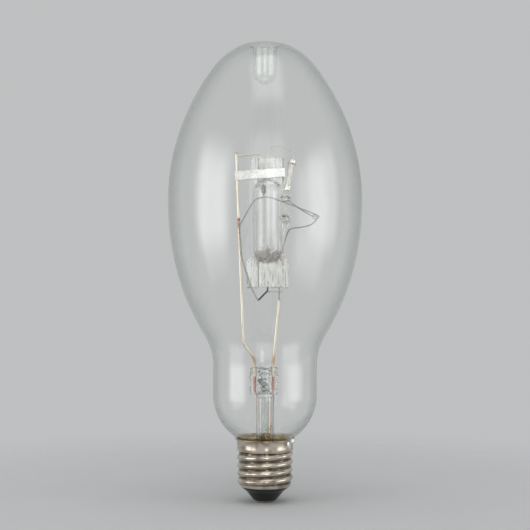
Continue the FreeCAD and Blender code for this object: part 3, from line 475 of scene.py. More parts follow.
def support_metal():
    """Nickel wire with heat tints at its welds and where it enters the press."""
    drawn = (1, 1, 0.15)
    shade = metal("nickel_wire", (0.84, 0.77, 0.66), (0.66, 0.57, 0.47), (0.22, 0.42), 2.5, 0.01, drawn)
    tone = shade.tone()
    height = shade.axis("Z")
    for middle, reach, colour in HEAT_TINTS:
        away = shade.apart(height, middle * MM)
        tone = shade.blend(shade.spread(away, reach * MM, 0.2 * MM, 0.0, 0.9), tone, colour)
    shade.feed(tone, "Base Color")
    return shade


def shell_metal():
    """Nickel plate, warm, with painted shade that darkens the roots of the thread."""
    shade = metal("nickel_plate", (0.70, 0.625, 0.525), (0.37, 0.31, 0.245), (0.08, 0.20), 3.4, 0.006)
    # Painted shade: the roots of the thread are darkened to near black, broken up by noise, between the
    # collar and the foot.
    root_shade = shade.product(
        shade.spread(shade.radius(), (ROOT_RADIUS + 0.62) * MM, (ROOT_RADIUS + 0.05) * MM),
        shade.height(*ROOT_SHADE_TOP),
        shade.height(*ROOT_SHADE_FOOT),
        shade.spread(shade.noise(2, 4), 0.1, 0.6, 0.4, 0.9),
    )
    shade.feed(shade.blend(root_shade, shade.tone(), (0.055, 0.04, 0.03)), "Base Color")
    return shade


def strap_metal():
    """The strap's dull pale skin, which mirrors the room only a little."""
    shade = metal("strap_nickel", (0.80, 0.795, 0.78), (0.69, 0.685, 0.67), (0.22, 0.32), 3.5)
    return shade.set(Metallic=0.35)


def matt(name, tone, dark, grain, height):
    """A matt mineral surface with grains."""
    shade = Shade(name)
    shade.feed(shade.blend(shade.spread(shade.noise(grain, 6), 0.35, 0.65), tone, dark), "Base Color")
    shade.feed(shade.spread(shade.noise(grain, 3), 0.3, 0.7, 0.75, 0.95), "Roughness")
    return shade.bump(shade.noise(grain * 0.7, 6), height)


def black_glass():
    """Black glass with a little dust in its gloss."""
    shade = Shade("black_glass").set(Base_Color=(0.006, 0.006, 0.007), IOR=1.55)
    shade.feed(shade.spread(shade.noise(1.5, 6), 0.5, 0.8, 0.1, 0.4), "Roughness")
    return shade.bump(shade.noise(3, 3), 0.03)


def ceramic():
    """The resistor's pale glazed body."""
    shade = Shade("resistor_body").set(Roughness=0.3)
    blotch = shade.spread(shade.noise(1.2, 5), 0.4, 0.7)
    shade.feed(shade.blend(blotch, (0.80, 0.78, 0.73), (0.62, 0.60, 0.55)), "Base Color")
    return shade.bump(shade.noise(0.5, 4), 0.02)


def make_materials():
    """Every material, by its name."""
    shades = [metal(name, *look) for name, look in METALS.items()]
    shades += [support_metal(), shell_metal(), strap_metal()]
    shades += [stem_glass(), quartz(), black_glass(), ceramic()]
    shades.append(Shade("mercury").set(Base_Color=(0.78, 0.78, 0.8), Metallic=1.0, Roughness=0.04))
    shades.append(clear_glass("clear_glass", (0.975, 0.985, 0.975), 1.5, 0.0))
    shades.append(clear_glass("bead_glass", (0.93, 0.94, 0.92), 1.5, 0.25, 0.08))
    shades.append(matt("cement", (0.52, 0.33, 0.09), (0.20, 0.11, 0.03), 0.9, 0.12))
    return {shade.name: shade.material for shade in shades}


materials = make_materials()
node_slots = {row["node"]: row["material_slot"] for row in frame["record"]["subparts"]}


def dress_nodes():
    """Every CAD node gets its own look or the material of its slot."""
    for name, node in frame["nodes"].items():
        node.data.materials.clear()
        node.data.materials.append(materials[OWN_LOOKS.get(name, node_slots[name])])


def add_piece(name, points, faces, nodes, slot, material=None, hollow=None):
    """A smooth mesh, in millimetres, that stands for CAD nodes. Hollow is a closed room inside it."""
    mesh = bpy.data.meshes.new(name)
    mesh.from_pydata([tuple(c * MM for c in point) for point in points], [], faces)
    mesh.validate()
    build = bmesh.new()
    build.from_mesh(mesh)
    bmesh.ops.recalc_face_normals(build, faces=build.faces)
    if hollow:
        corners = [build.verts.new(tuple(c * MM for c in point)) for point in hollow[0]]
        room = [build.faces.new([corners[i] for i in face]) for face in hollow[1]]
        bmesh.ops.recalc_face_normals(build, faces=room)
        bmesh.ops.reverse_faces(build, faces=room)
    build.to_mesh(mesh)
    build.free()
    for polygon in mesh.polygons:
        polygon.use_smooth = True
    mesh.materials.append(materials[material or slot])
    piece = bpy.data.objects.new(name, mesh)
    scene.collection.objects.link(piece)
    bpy.context.view_layer.update()
    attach(piece, "root")
    if nodes:
        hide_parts(*nodes)


def arc(centre, radius, start, end, step=3.0):
    """Points on an arc from one angle to another, in degrees."""
    count = max(2, round(abs(end - start) / step))
    angles = [math.radians(start + (end - start) * i / count) for i in range(count + 1)]
    return [(centre[0] + radius * math.cos(a), centre[1] + radius * math.sin(a)) for a in angles]


def bearing(start, end):
    return math.degrees(math.atan2(end[1] - start[1], end[0] - start[0]))


def ring_faces(below, above, count):
    """The quads between two rings of points, which start at two indices."""
    return [(below + i, below + (i + 1) % count, above + (i + 1) % count, above + i) for i in range(count)]


def turned(outline, segments, place=(0, 0)):
    """Points and faces of an outline turned about an upright axis. Its two ends may lie on the axis."""
    points, faces, rings = [], [], []
    for radius, height in outline:
        if radius < 1e-6:
            rings.append([len(points)] * segments)
            points.append((place[0], place[1], height))
            continue
        rings.append([len(points) + i for i in range(segments)])
        for i in range(segments):
            turn = 2 * math.pi * i / segments
            points.append((place[0] + radius * math.cos(turn), place[1] + radius * math.sin(turn), height))
    for one, two in zip(rings, rings[1:]):
        for i in range(segments):
            j = (i + 1) % segments
            corners = [one[i], two[i], two[j], one[j]]
            face = [c for n, c in enumerate(corners) if c != corners[n - 1]]
            if len(face) > 2:
                faces.append(face)
    return points, faces


def block(low, high):
    """The points and faces of a box between two corners."""
    points = [(x, y, z) for x in (low[0], high[0]) for y in (low[1], high[1]) for z in (low[2], high[2])]
    faces = [(0, 1, 3, 2), (4, 6, 7, 5), (0, 4, 5, 1), (2, 3, 7, 6), (0, 2, 6, 4), (1, 5, 7, 3)]
    return points, faces


def prism(outline, low, high):
    """The points and faces of an outline in x and z that is drawn out from one y to another."""
    count = len(outline)
    points = [(x, low, z) for x, z in outline] + [(x, high, z) for x, z in outline]
    faces = [tuple(range(count)), tuple(range(2 * count - 1, count - 1, -1))]
    return points, faces + ring_faces(0, count, count)


def joined(parts):
    points, faces = [], []
    for part_points, part_faces in parts:
        start = len(points)
        points += part_points
        faces += [tuple(start + i for i in face) for face in part_faces]
    return points, faces


def melted(parts, voxel, rounds):
    """Overlapping solids melted into one skin of even quads: its points, faces and normals."""
    points, faces = joined(parts)
    mesh = bpy.data.meshes.new("melted")
    mesh.from_pydata(points, [], faces)
    scratch = bpy.data.objects.new("melted", mesh)
    scene.collection.objects.link(scratch)
    remesh = scratch.modifiers.new("remesh", "REMESH")
    remesh.mode = "VOXEL"
    remesh.voxel_size = voxel
    smooth = scratch.modifiers.new("smooth", "SMOOTH")
    smooth.factor = 0.5
    smooth.iterations = rounds
    bpy.context.view_layer.update()
    result = scratch.evaluated_get(bpy.context.evaluated_depsgraph_get()).to_mesh()
    points = [tuple(vertex.co) for vertex in result.vertices]
    faces = [tuple(polygon.vertices) for polygon in result.polygons]
    normals = [tuple(vertex.normal) for vertex in result.vertices]
    scratch.to_mesh_clear()
    bpy.data.objects.remove(scratch)
    bpy.data.meshes.remove(mesh)
    return points, faces, normals


def pushed(points, normals, depth):
    """Each point moved along its normal by what depth says, in millimetres."""
    moved = []
    for point, normal in zip(points, normals):
        push = depth(*point)
        moved.append(tuple(c + n * push for c, n in zip(point, normal)))
    return moved


def add_melted(name, parts, voxel, rounds, node, slot, depth):
    """A piece whose solids are melted into one skin, which depth then moves in and out."""
    points, faces, normals = melted(parts, voxel, rounds)
    add_piece(name, pushed(points, normals, depth), faces, [node], slot)


def rough(x, y, z, size, seed=0.0):
    return noise.noise(Vector((x / size + seed, y / size - seed, z / size + 2 * seed)))


def ease(value, low, high):
    """0 below low, 1 above high, and smooth between. Low may be the larger one."""
    share = min(1, max(0, (value - low) / (high - low)))
    return share * share * (3 - 2 * share)


def cad_solid(name):
    """The points and faces of a CAD node, in millimetres."""
    node = frame["nodes"][name]
    points = [tuple(c / MM for c in node.matrix_world @ vertex.co) for vertex in node.data.vertices]
    return points, [tuple(polygon.vertices) for polygon in node.data.polygons]


def bulb_skin(inset):
    """The bulb's outline from the bottom of the dimple out over the dome and down to the tail."""
    dome = (0, DOME_TOP - DOME_RADIUS)
    rise = dome[1] - BELT_TOP
    flank_radius = (BULB_RADIUS**2 + rise**2 - DOME_RADIUS**2) / (2 * (BULB_RADIUS - DOME_RADIUS))
    flank = (BULB_RADIUS - flank_radius, BELT_TOP)
    drop = BELT_FOOT - SHOULDER_HEIGHT
    swell = BULB_RADIUS - NECK_RADIUS
    lower_radius = (drop**2 + swell**2) / (2 * swell) - SHOULDER_RADIUS
    lower = (BULB_RADIUS - lower_radius, BELT_FOOT)
    shoulder = (NECK_RADIUS + SHOULDER_RADIUS, SHOULDER_HEIGHT)
    neck = SHOULDER_HEIGHT - BOWL_HEIGHT
    bowl = (0, BOWL_HEIGHT)
    fillet_x = TAIL_RADIUS + TAIL_FILLET
    fillet = (fillet_x, BOWL_HEIGHT - math.sqrt((NECK_RADIUS + TAIL_FILLET) ** 2 - fillet_x**2))
    tail = fillet[1] - TAIL_FOOT
    mouth_x = DIMPLE_RADIUS + DIMPLE_MOUTH
    mouth = (mouth_x, dome[1] + math.sqrt((DOME_RADIUS - DIMPLE_MOUTH) ** 2 - mouth_x**2))
    tip = (0, DOME_TOP - DIMPLE_DEPTH + DIMPLE_RADIUS + GLASS_WALL)
    skin = arc(tip, DIMPLE_RADIUS + inset, -90, 0, 6)
    skin += arc(mouth, DIMPLE_MOUTH - inset, 180, bearing(dome, mouth), 9)
    skin += arc(dome, DOME_RADIUS - inset, bearing(dome, mouth), bearing(flank, dome), 2)[1:]
    skin += arc(flank, flank_radius - inset, bearing(flank, dome), 0, 1)[1:]
    skin += arc(lower, lower_radius - inset, 0, bearing(lower, shoulder), 1)
    skin += arc(shoulder, SHOULDER_RADIUS + inset, bearing(shoulder, lower), 180, 3)[1:]
    skin += [(NECK_RADIUS - inset, SHOULDER_HEIGHT - i * neck / 6) for i in range(1, 6)]
    skin += arc(bowl, NECK_RADIUS - inset, 0, bearing(bowl, fillet), 2.5)
    skin += arc(fillet, TAIL_FILLET + inset, bearing(fillet, bowl), 180, 8)[1:]
    skin += [(TAIL_RADIUS - inset, TAIL_FOOT + tail * share) for share in (0.66, 0.33, 0)]
    return skin


def outer_bulb():
    """The blown bulb, whose wall is a little uneven, as it comes out of the mould."""
    outline = bulb_skin(0) + list(reversed(bulb_skin(GLASS_WALL)))
    points, faces = turned(outline, 192)
    moved = []
    for index, (x, y, z) in enumerate(points):
        inside = index > len(points) / 2
        away = math.hypot(x, y)
        wave = noise.noise(Vector((x, y, z * 0.5)) / 22 + Vector((0, 0, 40 * inside)))
        share = 1 - (0.05 if inside else 0.012) * wave / max(away, 1) * min(1, away / 20)
        moved.append((x * share, y * share, z))
    add_piece("outer_bulb_glass", moved, faces, ["outer_bulb"], "clear_glass")


def shell_radius(angle, height):
    """The radius of the cap's skin in the threaded part, where the sheet is rolled into a round thread."""
    turn = (math.degrees(angle) - 90) / 360
    swell = 0
    for k in range(-1, 6):
        place = turn + k
        crest = THREAD_START + THREAD_PITCH * place
        away = abs(height - crest) / (THREAD_PITCH / 2)
        if away >= 1:
            continue
        there = ease(place, -0.12, 0.06) * ease(place, THREAD_TURNS + 0.12, THREAD_TURNS - 0.06)
        swell = max(swell, there * (0.5 + 0.5 * math.cos(math.pi * away)) ** 0.9)
    return ROOT_RADIUS + (CREST_RADIUS - ROOT_RADIUS) * swell


def cap_shell():
    """The plated shell: curled foot, rolled thread, step, collar and flared lip."""
    foot = [(10.9, 7.3), (11.2, 7.3), (11.5, 7.36), (11.75, 7.5), (11.94, 7.72), (12.06, 8.0), (12.12, 8.3)]
    rise = THREAD_TOP - THREAD_FOOT
    thread = [(None, THREAD_FOOT + rise * i / 84) for i in range(85)]
    collar = [(12.16, 23.52), (12.28, 23.66), (12.48, 23.78), (12.72, 23.9), (12.92, 24.06), (13.05, 24.28)]
    collar += [(13.13, 24.55), (13.18, 24.85), (13.2, 25.2), (13.17, 25.8), (13.15, 26.6), (13.16, 27.4)]
    lip = [(13.2, 28.1), (13.28, 28.45), (13.42, 28.75), (13.62, 29.0), (13.86, 29.22), (14.06, 29.38)]
    lip += [(14.17, 29.5), (14.19, 29.58), (14.14, 29.65), (14.02, 29.66), (13.9, 29.58)]
    inner = [(13.62, 29.36), (13.36, 29.12), (13.16, 28.86), (13.0, 28.55), (12.9, 28.2), (12.88, 25.2)]
    inner += [(12.8, 24.7), (12.6, 24.3), (12.3, 24.05), (11.95, 23.8), (11.83, 23.4)]
    back = [(None, THREAD_TOP - 0.1 - (rise - SHELL_WALL) * i / 42) for i in range(43)]
    inner_foot = [(11.8, 8.3), (11.7, 8.0), (11.5, 7.75), (11.2, 7.62), (10.9, 7.6)]
    rows = [(radius, z, 0) for radius, z in foot + thread + collar + lip + inner]
    rows += [(radius, z, 1) for radius, z in back + inner_foot]
    segments = 160
    points, faces = [], []
    for radius, height, inside in rows:
        for i in range(segments):
            angle = 2 * math.pi * i / segments
            away = radius or shell_radius(angle, height) - SHELL_WALL * inside
            x, y = away * math.cos(angle), away * math.sin(angle)
            dent = 0.03 * rough(x, y, height, 4.5) * ease(height, 7.3, 8.5)
            points.append((x * (1 + dent / away), y * (1 + dent / away), height))
    for row in range(len(rows)):
        faces += ring_faces(row * segments, (row + 1) % len(rows) * segments, segments)
    add_piece("cap_shell_rolled", points, faces, ["cap_shell"], "nickel_plate")


def cap_insulator():
    """Black glass cast into the foot of the shell, a little uneven, with a soft edge round the contact."""
    outline = [(0, 0.85), (4.55, 0.85), (4.95, 0.8), (5.15, 0.86), (5.35, 1.02), (6.2, 2.0), (7.4, 3.45)]
    outline += [(8.35, 4.6), (8.75, 5.05), (9.3, 5.5), (10.0, 6.05), (10.55, 6.5), (10.82, 6.8), (10.9, 7.1)]
    outline += [(10.9, 10.3), (10.6, 10.6), (0, 10.6)]
    points, faces = turned(outline, 128)
    cast = []
    for x, y, z in points:
        cast.append((x * (1 + 0.006 * rough(x, y, z, 5)), y * (1 + 0.006 * rough(x, y, z, 5, 3)), z))
    add_piece("cap_insulator_cast", cast, faces, ["cap_insulator"], "black_glass")


def contacts():
    """The pressed contact disc, the solder on it, and the solder that joins the side lead to the lip."""

    def drop(x, y, z):
        return 0.09 * rough(x, y, z, 1.3) * ease(z, 0.03, 0.3)

    def lumps(x, y, z):
        return 0.14 * rough(x, y, z, 0.9) + 0.05

    points, faces, _ = melted([cad_solid("centre_contact")], 0.1, 3)
    add_piece("centre_contact_disc", points, faces, ["centre_contact"], "contact_brass")
    solder = cad_solid("centre_solder")
    add_melted("centre_solder_dome", [solder], 0.09, 8, "centre_solder", "solder", drop)
    angle = math.radians(SOLDER_BEARING)
    out = (math.cos(angle), math.sin(angle))
    ball, ball_faces = turned(arc((0, 0), 1, -90, 90, 15), 20)
    run = []
    for x, y, z in ball:
        away = SOLDER_REACH + x * SOLDER_THICK
        along = y * SOLDER_ALONG * (1 + 0.25 * z)
        run.append((away * out[0] - along * out[1], away * out[1] + along * out[0],
                    SOLDER_MIDDLE + SOLDER_UP * z))
    parts = [cad_solid("side_solder"), (run, ball_faces)]
    add_melted("side_solder_run", parts, 0.11, 5, "side_solder", "solder", lumps)


def cement():
    """The grainy ring of cement between the bulb and the cap."""

    def grain(x, y, z):
        return 0.16 * rough(x, y, z, 0.8) - 0.08 + 0.2 * rough(x, y, z, 3.1, 5)

    add_melted("cap_cement_ring", [cad_solid("cap_cement")], 0.28, 2, "cap_cement", "cement", grain)


def stem():
    """The flared stem tube, and its press with the glass lapped and creased round the two wires."""
    foot = TAIL_FOOT + FLARE_FOOT
    seal = TAIL_RADIUS - GLASS_WALL
    centre = (STEM_RADIUS + FLARE_RADIUS, foot + FLARE_RADIUS)
    floor = PRESS_FOOT - PRESS_FLOOR
    outline = [(seal, TAIL_FOOT), (seal, foot)] + arc(centre, FLARE_RADIUS, -90, -180, 7)
    outline += [(STEM_RADIUS, z) for z in (30, 38, 46, PRESS_FOOT)] + [(0, PRESS_FOOT), (0, floor)]
    outline += [(STEM_RADIUS - STEM_WALL, z) for z in (floor, 46, 38, 30)]
    inside = arc(centre, FLARE_RADIUS + STEM_WALL, 180, 270, 7)
    outline += [point for point in inside if point[0] < seal - STEM_WALL]
    outline.append((seal - STEM_WALL, TAIL_FOOT))
    parts = [turned(outline + outline[:1], 96)]
    low, high = PRESS_FOOT - 0.3, PRESS_TOP - 0.3
    parts.append(block((LEFT_LEAD, -PRESS_WEB / 2, low), (RIGHT_LEAD, PRESS_WEB / 2, high)))
    for lead in (LEFT_LEAD, RIGHT_LEAD):
        lobe = [(0, PRESS_FOOT - LOBE_EDGE), (2.0, PRESS_FOOT - LOBE_EDGE)]
        lobe += [(PRESS_LOBE, PRESS_FOOT), (PRESS_LOBE, PRESS_TOP - LOBE_EDGE)]
        lobe += arc((PRESS_LOBE - LOBE_EDGE, PRESS_TOP - LOBE_EDGE), LOBE_EDGE, 0, 90, 15)
        lobe.append((0, PRESS_TOP))
        parts.append(turned(lobe, 40, (lead, 0)))

    def crease(x, y, z):
        press = ease(z, PRESS_FOOT - 2.5, PRESS_FOOT + 0.6)
        fold = rough(x, y * 1.5, z * 2.2, 2.7, 7) + 0.22 * rough(x, y, z * 1.6, 1.3, 2)
        calm = min(ease(abs(x - lead), 0.8, 2.4) for lead in (LEFT_LEAD, RIGHT_LEAD))
        drawn = 0.05 * rough(x * 3, y * 3, z * 0.15, 3)
        return press * ((0.15 + 0.62 * calm) * fold - 0.12) + (1 - press) * drawn

    add_melted("stem_glass_drawn", parts, 0.24, 6, "stem_glass", "stem_glass", crease)


def pinch(foot, top, width, round_top):
    """A pinch of the arc tube: two ribs and a thinner web. Its outer corners are rounded at one end."""
    inner, outer = width / 2 - RIB_WIDTH, width / 2
    web, turn = outer - 2, outer - PINCH_ROUND
    parts = [block((TUBE_OFFSET - web, -WEB_HALF, foot + 0.4), (TUBE_OFFSET + web, WEB_HALF, top))]
    if round_top:
        edge = [(outer, foot)] + arc((turn, top - PINCH_ROUND), PINCH_ROUND, 0, 90, 15)
    else:
        edge = arc((turn, foot + PINCH_ROUND), PINCH_ROUND, -90, 0, 15) + [(outer, top)]
    corners = [(inner, foot)] + edge + [(inner, top)]
    for side in (-1, 1):
        flat = [(TUBE_OFFSET + side * x, z) for x, z in corners]
        parts.append(prism(flat if side > 0 else flat[::-1], -RIB_HALF, RIB_HALF))
    return parts


def arc_tube():
    """The quartz tube. Its chamber is smooth and hollow, and its pinches carry the marks of the jaws."""

    def chamber(radius):
        skin = arc((0, CHAMBER_LOW), radius, -90, 0, 5) + arc((0, CHAMBER_HIGH), radius, 0, 90, 5)
        return turned(skin, 96, (TUBE_OFFSET, 0))

    def jaw_marks(x, y, z):
        held = max(ease(z, *JAWS_LOW), ease(z, *JAWS_HIGH))
        ripple = rough(x, y, z * 0.3, 1.5, 4) * 0.09 + rough(x, y, z * 0.6, 3.2, 9) * 0.16 - 0.12
        if z < JAWS_LOW[1]:
            for line in JAW_LINES:
                away = abs(x - TUBE_OFFSET - line + 0.15 * math.sin(z * 1.3))
                ripple -= 0.42 * ease(away, 0.42, 0.08)
        if UNDER_STRAP[0] < z < UNDER_STRAP[1]:
            ripple = min(ripple, -0.06)
        flow = 0.12 * rough(x, y, z, 3.5, 1) * max(ease(z, *FLOW_LOW), ease(z, *FLOW_HIGH))
        return held * ripple + flow

    parts = [chamber(TUBE_RADIUS)] + pinch(*LOW_PINCH, True) + pinch(*HIGH_PINCH, False)
    points, faces, normals = melted(parts, 0.26, 10)
    waved = []
    for x, y, z in pushed(points, normals, jaw_marks):
        low, high = ease(z, *WAVY_FOOT), ease(z, *WAVY_TOP)
        z += low * (0.75 * rough(x, y * 0.4, 0, 2.6, 6) + 0.15) + high * 0.6 * rough(x, y * 0.4, 3, 2.4, 8)
        waved.append((x, y, z))
    room = chamber(TUBE_RADIUS - TUBE_WALL)
    add_piece("arc_tube_quartz", waved, faces, ["arc_tube"], "quartz", hollow=room)


def rounded(points, bend, step=0.25):
    """A path through corners, each rounded to the bend or to its own radius, as evenly spaced points."""
    corners = [Vector(point[:3]) for point in points]
    path = [corners[0]]
    for before, corner, after, given in zip(corners, corners[1:], corners[2:], points[1:]):
        radius = given[3] if len(given) > 3 else bend
        back, on = (before - corner).normalized(), (after - corner).normalized()
        half = math.pi / 2 - back.angle(on) / 2
        if half < 0.01:
            path.append(corner)
            continue
        cut = min(radius * math.tan(half), (before - corner).length * 0.5, (after - corner).length * 0.5)
        count = max(3, round(half * 8))
        for i in range(count + 1):
            t = i / count
            path.append(corner + back * cut * (1 - t) ** 2 + on * cut * t**2)
    path.append(corners[-1])
    even, carry = [path[0]], 0.0
    for one, two in zip(path, path[1:]):
        length = (two - one).length
        along = step - carry
        while along <= length:
            even.append(one.lerp(two, along / length))
            along += step
        carry = (carry + length) % step
    even.append(path[-1])
    return even


def carried(path):
    """At each point of a path, its direction and two across it that turn as little as they can."""
    ways = [(two - one).normalized() for one, two in zip(path, path[1:])]
    ways.append(ways[-1])
    across = ways[0].orthogonal().normalized()
    result, last = [], ways[0]
    for way in ways:
        across.rotate(last.rotation_difference(way))
        across = (across - way * across.dot(way)).normalized()
        result.append((way, across.copy(), way.cross(across)))
        last = way
    return result


def wound(path, radius, pitch, per_turn=9):
    """A path that winds round another path. A negative pitch winds the other way."""
    coil = []
    lengths = [0.0]
    for one, two in zip(path, path[1:]):
        lengths.append(lengths[-1] + (two - one).length)
    total = lengths[-1]
    ways = carried(path)
    count = round(total / abs(pitch) * per_turn)
    index = 0
    for i in range(count + 1):
        along = total * i / count
        while index < len(path) - 2 and lengths[index + 1] < along:
            index += 1
        share = (along - lengths[index]) / max(1e-9, lengths[index + 1] - lengths[index])
        centre = path[index].lerp(path[index + 1], min(1, share))
        turn = 2 * math.pi * along / pitch
        one, two = ways[index][1:]
        coil.append(centre + (one * math.cos(turn) + two * math.sin(turn)) * radius)
    return coil


def wire(path, radius, sides=8):
    """The points and faces of a round wire along a path, with closed ends."""
    points, faces = [], []
    for place, (_, one, two) in zip(path, carried(path)):
        for i in range(sides):
            turn = 2 * math.pi * i / sides
            points.append(tuple(place + (one * math.cos(turn) + two * math.sin(turn)) * radius))
    for row in range(len(path) - 1):
        faces += ring_faces(row * sides, (row + 1) * sides, sides)
    faces.append(tuple(range(sides - 1, -1, -1)))
    faces.append(tuple(range((len(path) - 1) * sides, len(path) * sides)))
    return points, faces


def filament():
    """The ballast filament: a fine coil from the lower arc lead, over its hooks, to the short lead."""
    route = rounded(FILAMENT_ROUTE, FILAMENT_BEND)
    coil = wire(wound(route, COIL_RADIUS, COIL_PITCH), COIL_WIRE, 6)
    add_piece("filament_coil", *coil, ["filament"], "tungsten")


def upright(x, y, start, end, steps):
    return [Vector((x, y, start + (end - start) * i / steps)) for i in range(steps + 1)]


def electrodes():
    """Tungsten rods whose tips are wound with two layers of wire."""
    for name, up in (("upper_electrode", -1), ("lower_electrode", 1)):
        low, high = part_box(name)
        x, y = ((low[i] + high[i]) / 2 / MM for i in (0, 1))
        seat, tip = (high[2] / MM, low[2] / MM) if up < 0 else (low[2] / MM, high[2] / MM)
        start, end = tip - up * WOUND_FROM, tip - up * WOUND_TO
        parts = [wire(upright(x, y, seat, tip, 12), ROD_RADIUS, 16)]
        for (radius, pitch, thick), short in ((INNER_WINDING, 0), (OUTER_WINDING, 0.5)):
            axis = upright(x, y, start + up * short, end - up * short, 20)
            parts.append(wire(wound(axis, radius, pitch, 16), thick, 8))
        add_piece(name + "_wound", *joined(parts), [name], "tungsten")


def tangle(number, height, tall):
    """The way of the fine wire that is tangled round a bead."""
    route = []
    for i in range(150):
        share = i / 149
        turn = 2 * math.pi * (share * BEAD_TURNS + 0.2 * number)
        rise = math.sin(2 * math.pi * (share * 1.5 + 0.2)) * 0.82 + 0.12 * math.sin(turn * 1.7 + number)
        swell = 1 + 0.13 * math.sin(3.1 * turn + number) + 0.1 * rough(i * 0.13, number, 0, 1)
        reach = 2.15 * math.sqrt(max(0.08, 1 - rise * rise)) * swell
        way = (reach * 1.12 * math.cos(turn), reach * 0.95 * math.sin(turn))
        route.append(Vector((BEAD_PLACE[0] + way[0], BEAD_PLACE[1] + way[1], height + rise * tall)))
    return route


def beads():
    """Uneven glass beads, each in a tangle of fine wire, and the wires that leave the lower one."""
    for number, (name, height, tall) in enumerate(BEADS):
        ball = turned(arc((0, height), BEAD_RADIUS, -90, 90, 10), 40, BEAD_PLACE)

        def lumps(x, y, z, seed=3 + number):
            return 0.5 * rough(x, y, z, 1.3, seed) + 0.05

        add_melted(name + "_glass", [ball], 0.16, 2, name, "bead_glass", lumps)
        parts = [wire(tangle(number, height, tall), BEAD_WIRE, 7)]
        if name == "lower_bead":
            parts += [wire(rounded(tail, 1.5), TAIL_WIRE, 7) for tail in BEAD_TAILS]
        add_piece(name + "_winding", *joined(parts), [], "nickel_wire", "pale_nickel")


def on_axis(outline, segments, foot, way):
    """A turned outline that stands on a leaning axis."""
    points, faces = turned(outline, segments)
    lean = Vector((0, 0, 1)).rotation_difference(Vector(way))
    return [tuple(Vector(foot) + lean @ Vector(point)) for point in points], faces


def resistor():
    """The starting resistor: a glazed tube with pressed end caps."""
    foot, way, length = RESISTOR_FOOT, RESISTOR_WAY, RESISTOR_LENGTH
    body = [(0, 0.4), (1.0, 0.4), (1.17, 0.6), (1.2, 1.2), (1.22, 4), (1.2, 8), (1.22, 11.5)]
    body += [(1.2, length - 1.2), (1.17, length - 0.6), (1.0, length - 0.4), (0, length - 0.4)]
    points, faces = on_axis(body, 40, foot, way)
    points = [tuple(c + 0.05 * rough(*p, 1.8, 4) for c in p) for p in points]
    add_piece("starting_resistor_tube", points, faces, ["starting_resistor"], "resistor_body")
    cap = [(0, 0.0), (0.9, 0.0), (1.2, 0.08), (1.38, 0.3), (1.43, 0.7), (1.43, 1.9), (1.4, 2.2)]
    cap += [(1.46, 2.42), (1.48, 2.55), (1.4, 2.62), (1.27, 2.6), (1.25, 2.4), (1.25, 0.3), (0, 0.3)]
    for name, start, up in (("resistor_foot_cap", 0.0, 1), ("resistor_head_cap", length, -1)):
        outline = [(r, start + up * z) for r, z in cap]
        pressed = on_axis(outline if up > 0 else outline[::-1], 40, foot, way)
        add_piece(name + "_pressed", *pressed, [name], "strap_nickel", "pale_nickel")


def strap():
    """The band round the upper pinch, with eased edges and the shallow dents of its spot welds."""

    def dents(x, y, z):
        deep = sum(0.07 * ease(math.dist((x, y, z), place), 0.8, 0.3) for place in STRAP_WELDS)
        return 0.02 * rough(x, y, z, 3.5) - deep

    band = cad_solid("arc_tube_strap")
    add_melted("arc_tube_band", [band], 0.09, 3, "arc_tube_strap", "strap_nickel", dents)


def welds():
    """Small beads of metal where the wires of the mount are welded to each other."""
    parts = []
    for number, (x, y, z, across, high) in enumerate(WELDS):
        ball, ball_faces = turned(arc((0, 0), 1, -90, 90, 15), 24)
        lumpy = []
        for point in ball:
            swell = 1 + 0.3 * rough(*point, 0.9, number)
            wide, tall = across * swell, high * swell
            lumpy.append((x + point[0] * wide, y + point[1] * wide, z + point[2] * tall))
        parts.append((lumpy, ball_faces))
    add_piece("wire_welds", *joined(parts), [], "nickel_wire", "fine_nickel")


def lead_curl():
    """The slack of the side lead, curled in front of the exhaust tube inside the stem."""
    path = [(2.8, -0.2, 35.6), (2.7, -1.3, 34.9)]
    for i in range(49):
        share = i / 48
        turn = 2 * math.pi * (0.1 + CURL_TURNS * share)
        way = (CURL_RADIUS * math.cos(turn), -0.12 * math.sin(2 * turn),
               CURL_RADIUS * math.sin(turn) - CURL_DROP * share)
        path.append(tuple(Vector(CURL_MIDDLE) + Vector(way)))
    path += [(2.75, -1.2, 28.4), (2.8, -0.2, 27.6)]
    curl = wire(rounded(path, 0.6, 0.12), CURL_WIRE, 10)
    add_piece("shell_lead_curl", *curl, [], "copper_wire", "lacquered_copper")


def hook_curl():
    """The free end of the right hook, curled so that the filament can't slip off it."""
    x, y, z = HOOK_END
    path = [(x, y - 0.9, z), (x, y, z)]
    for i in range(1, 41):
        share = i / 40
        turn = 2 * math.pi * HOOK_TURNS * share
        reach = HOOK_CURL * (1 - 0.12 * share)
        path.append((x - HOOK_CURL + reach * math.cos(turn), y + 0.3 + 0.75 * share,
                     z + reach * math.sin(turn)))
    add_piece("right_hook_curl", *wire(rounded(path, 0.3, 0.1), HOOK_WIRE, 10), [], "tungsten")


def make_stage():
    """A floor that keeps the lamp's shadow and runs out into the pale tone of the world."""
    bpy.ops.mesh.primitive_circle_add(
        vertices=96, radius=FLOOR_RADIUS, fill_type="NGON", location=(0, 0, -0.02 * MM)
    )
    floor = bpy.context.object
    floor.name = "floor"
    shade = Shade("floor").set(Roughness=0.9)
    grain = shade.spread(shade.noise(60, 2), 0.3, 0.7)
    shade.feed(shade.blend(grain, BACKDROP, tuple(c * 0.985 for c in BACKDROP)), "Base Color")
    back = shade.node("ShaderNodeNewGeometry").outputs["Backfacing"]
    seen = shade.node("ShaderNodeLightPath").outputs["Is Camera Ray"]
    from_below = shade.product(back, seen)
    shade.see_through(shade.math("MAXIMUM", from_below, shade.spread(shade.radius(), *FLOOR_FADE)))
    floor.data.materials.append(shade.material)


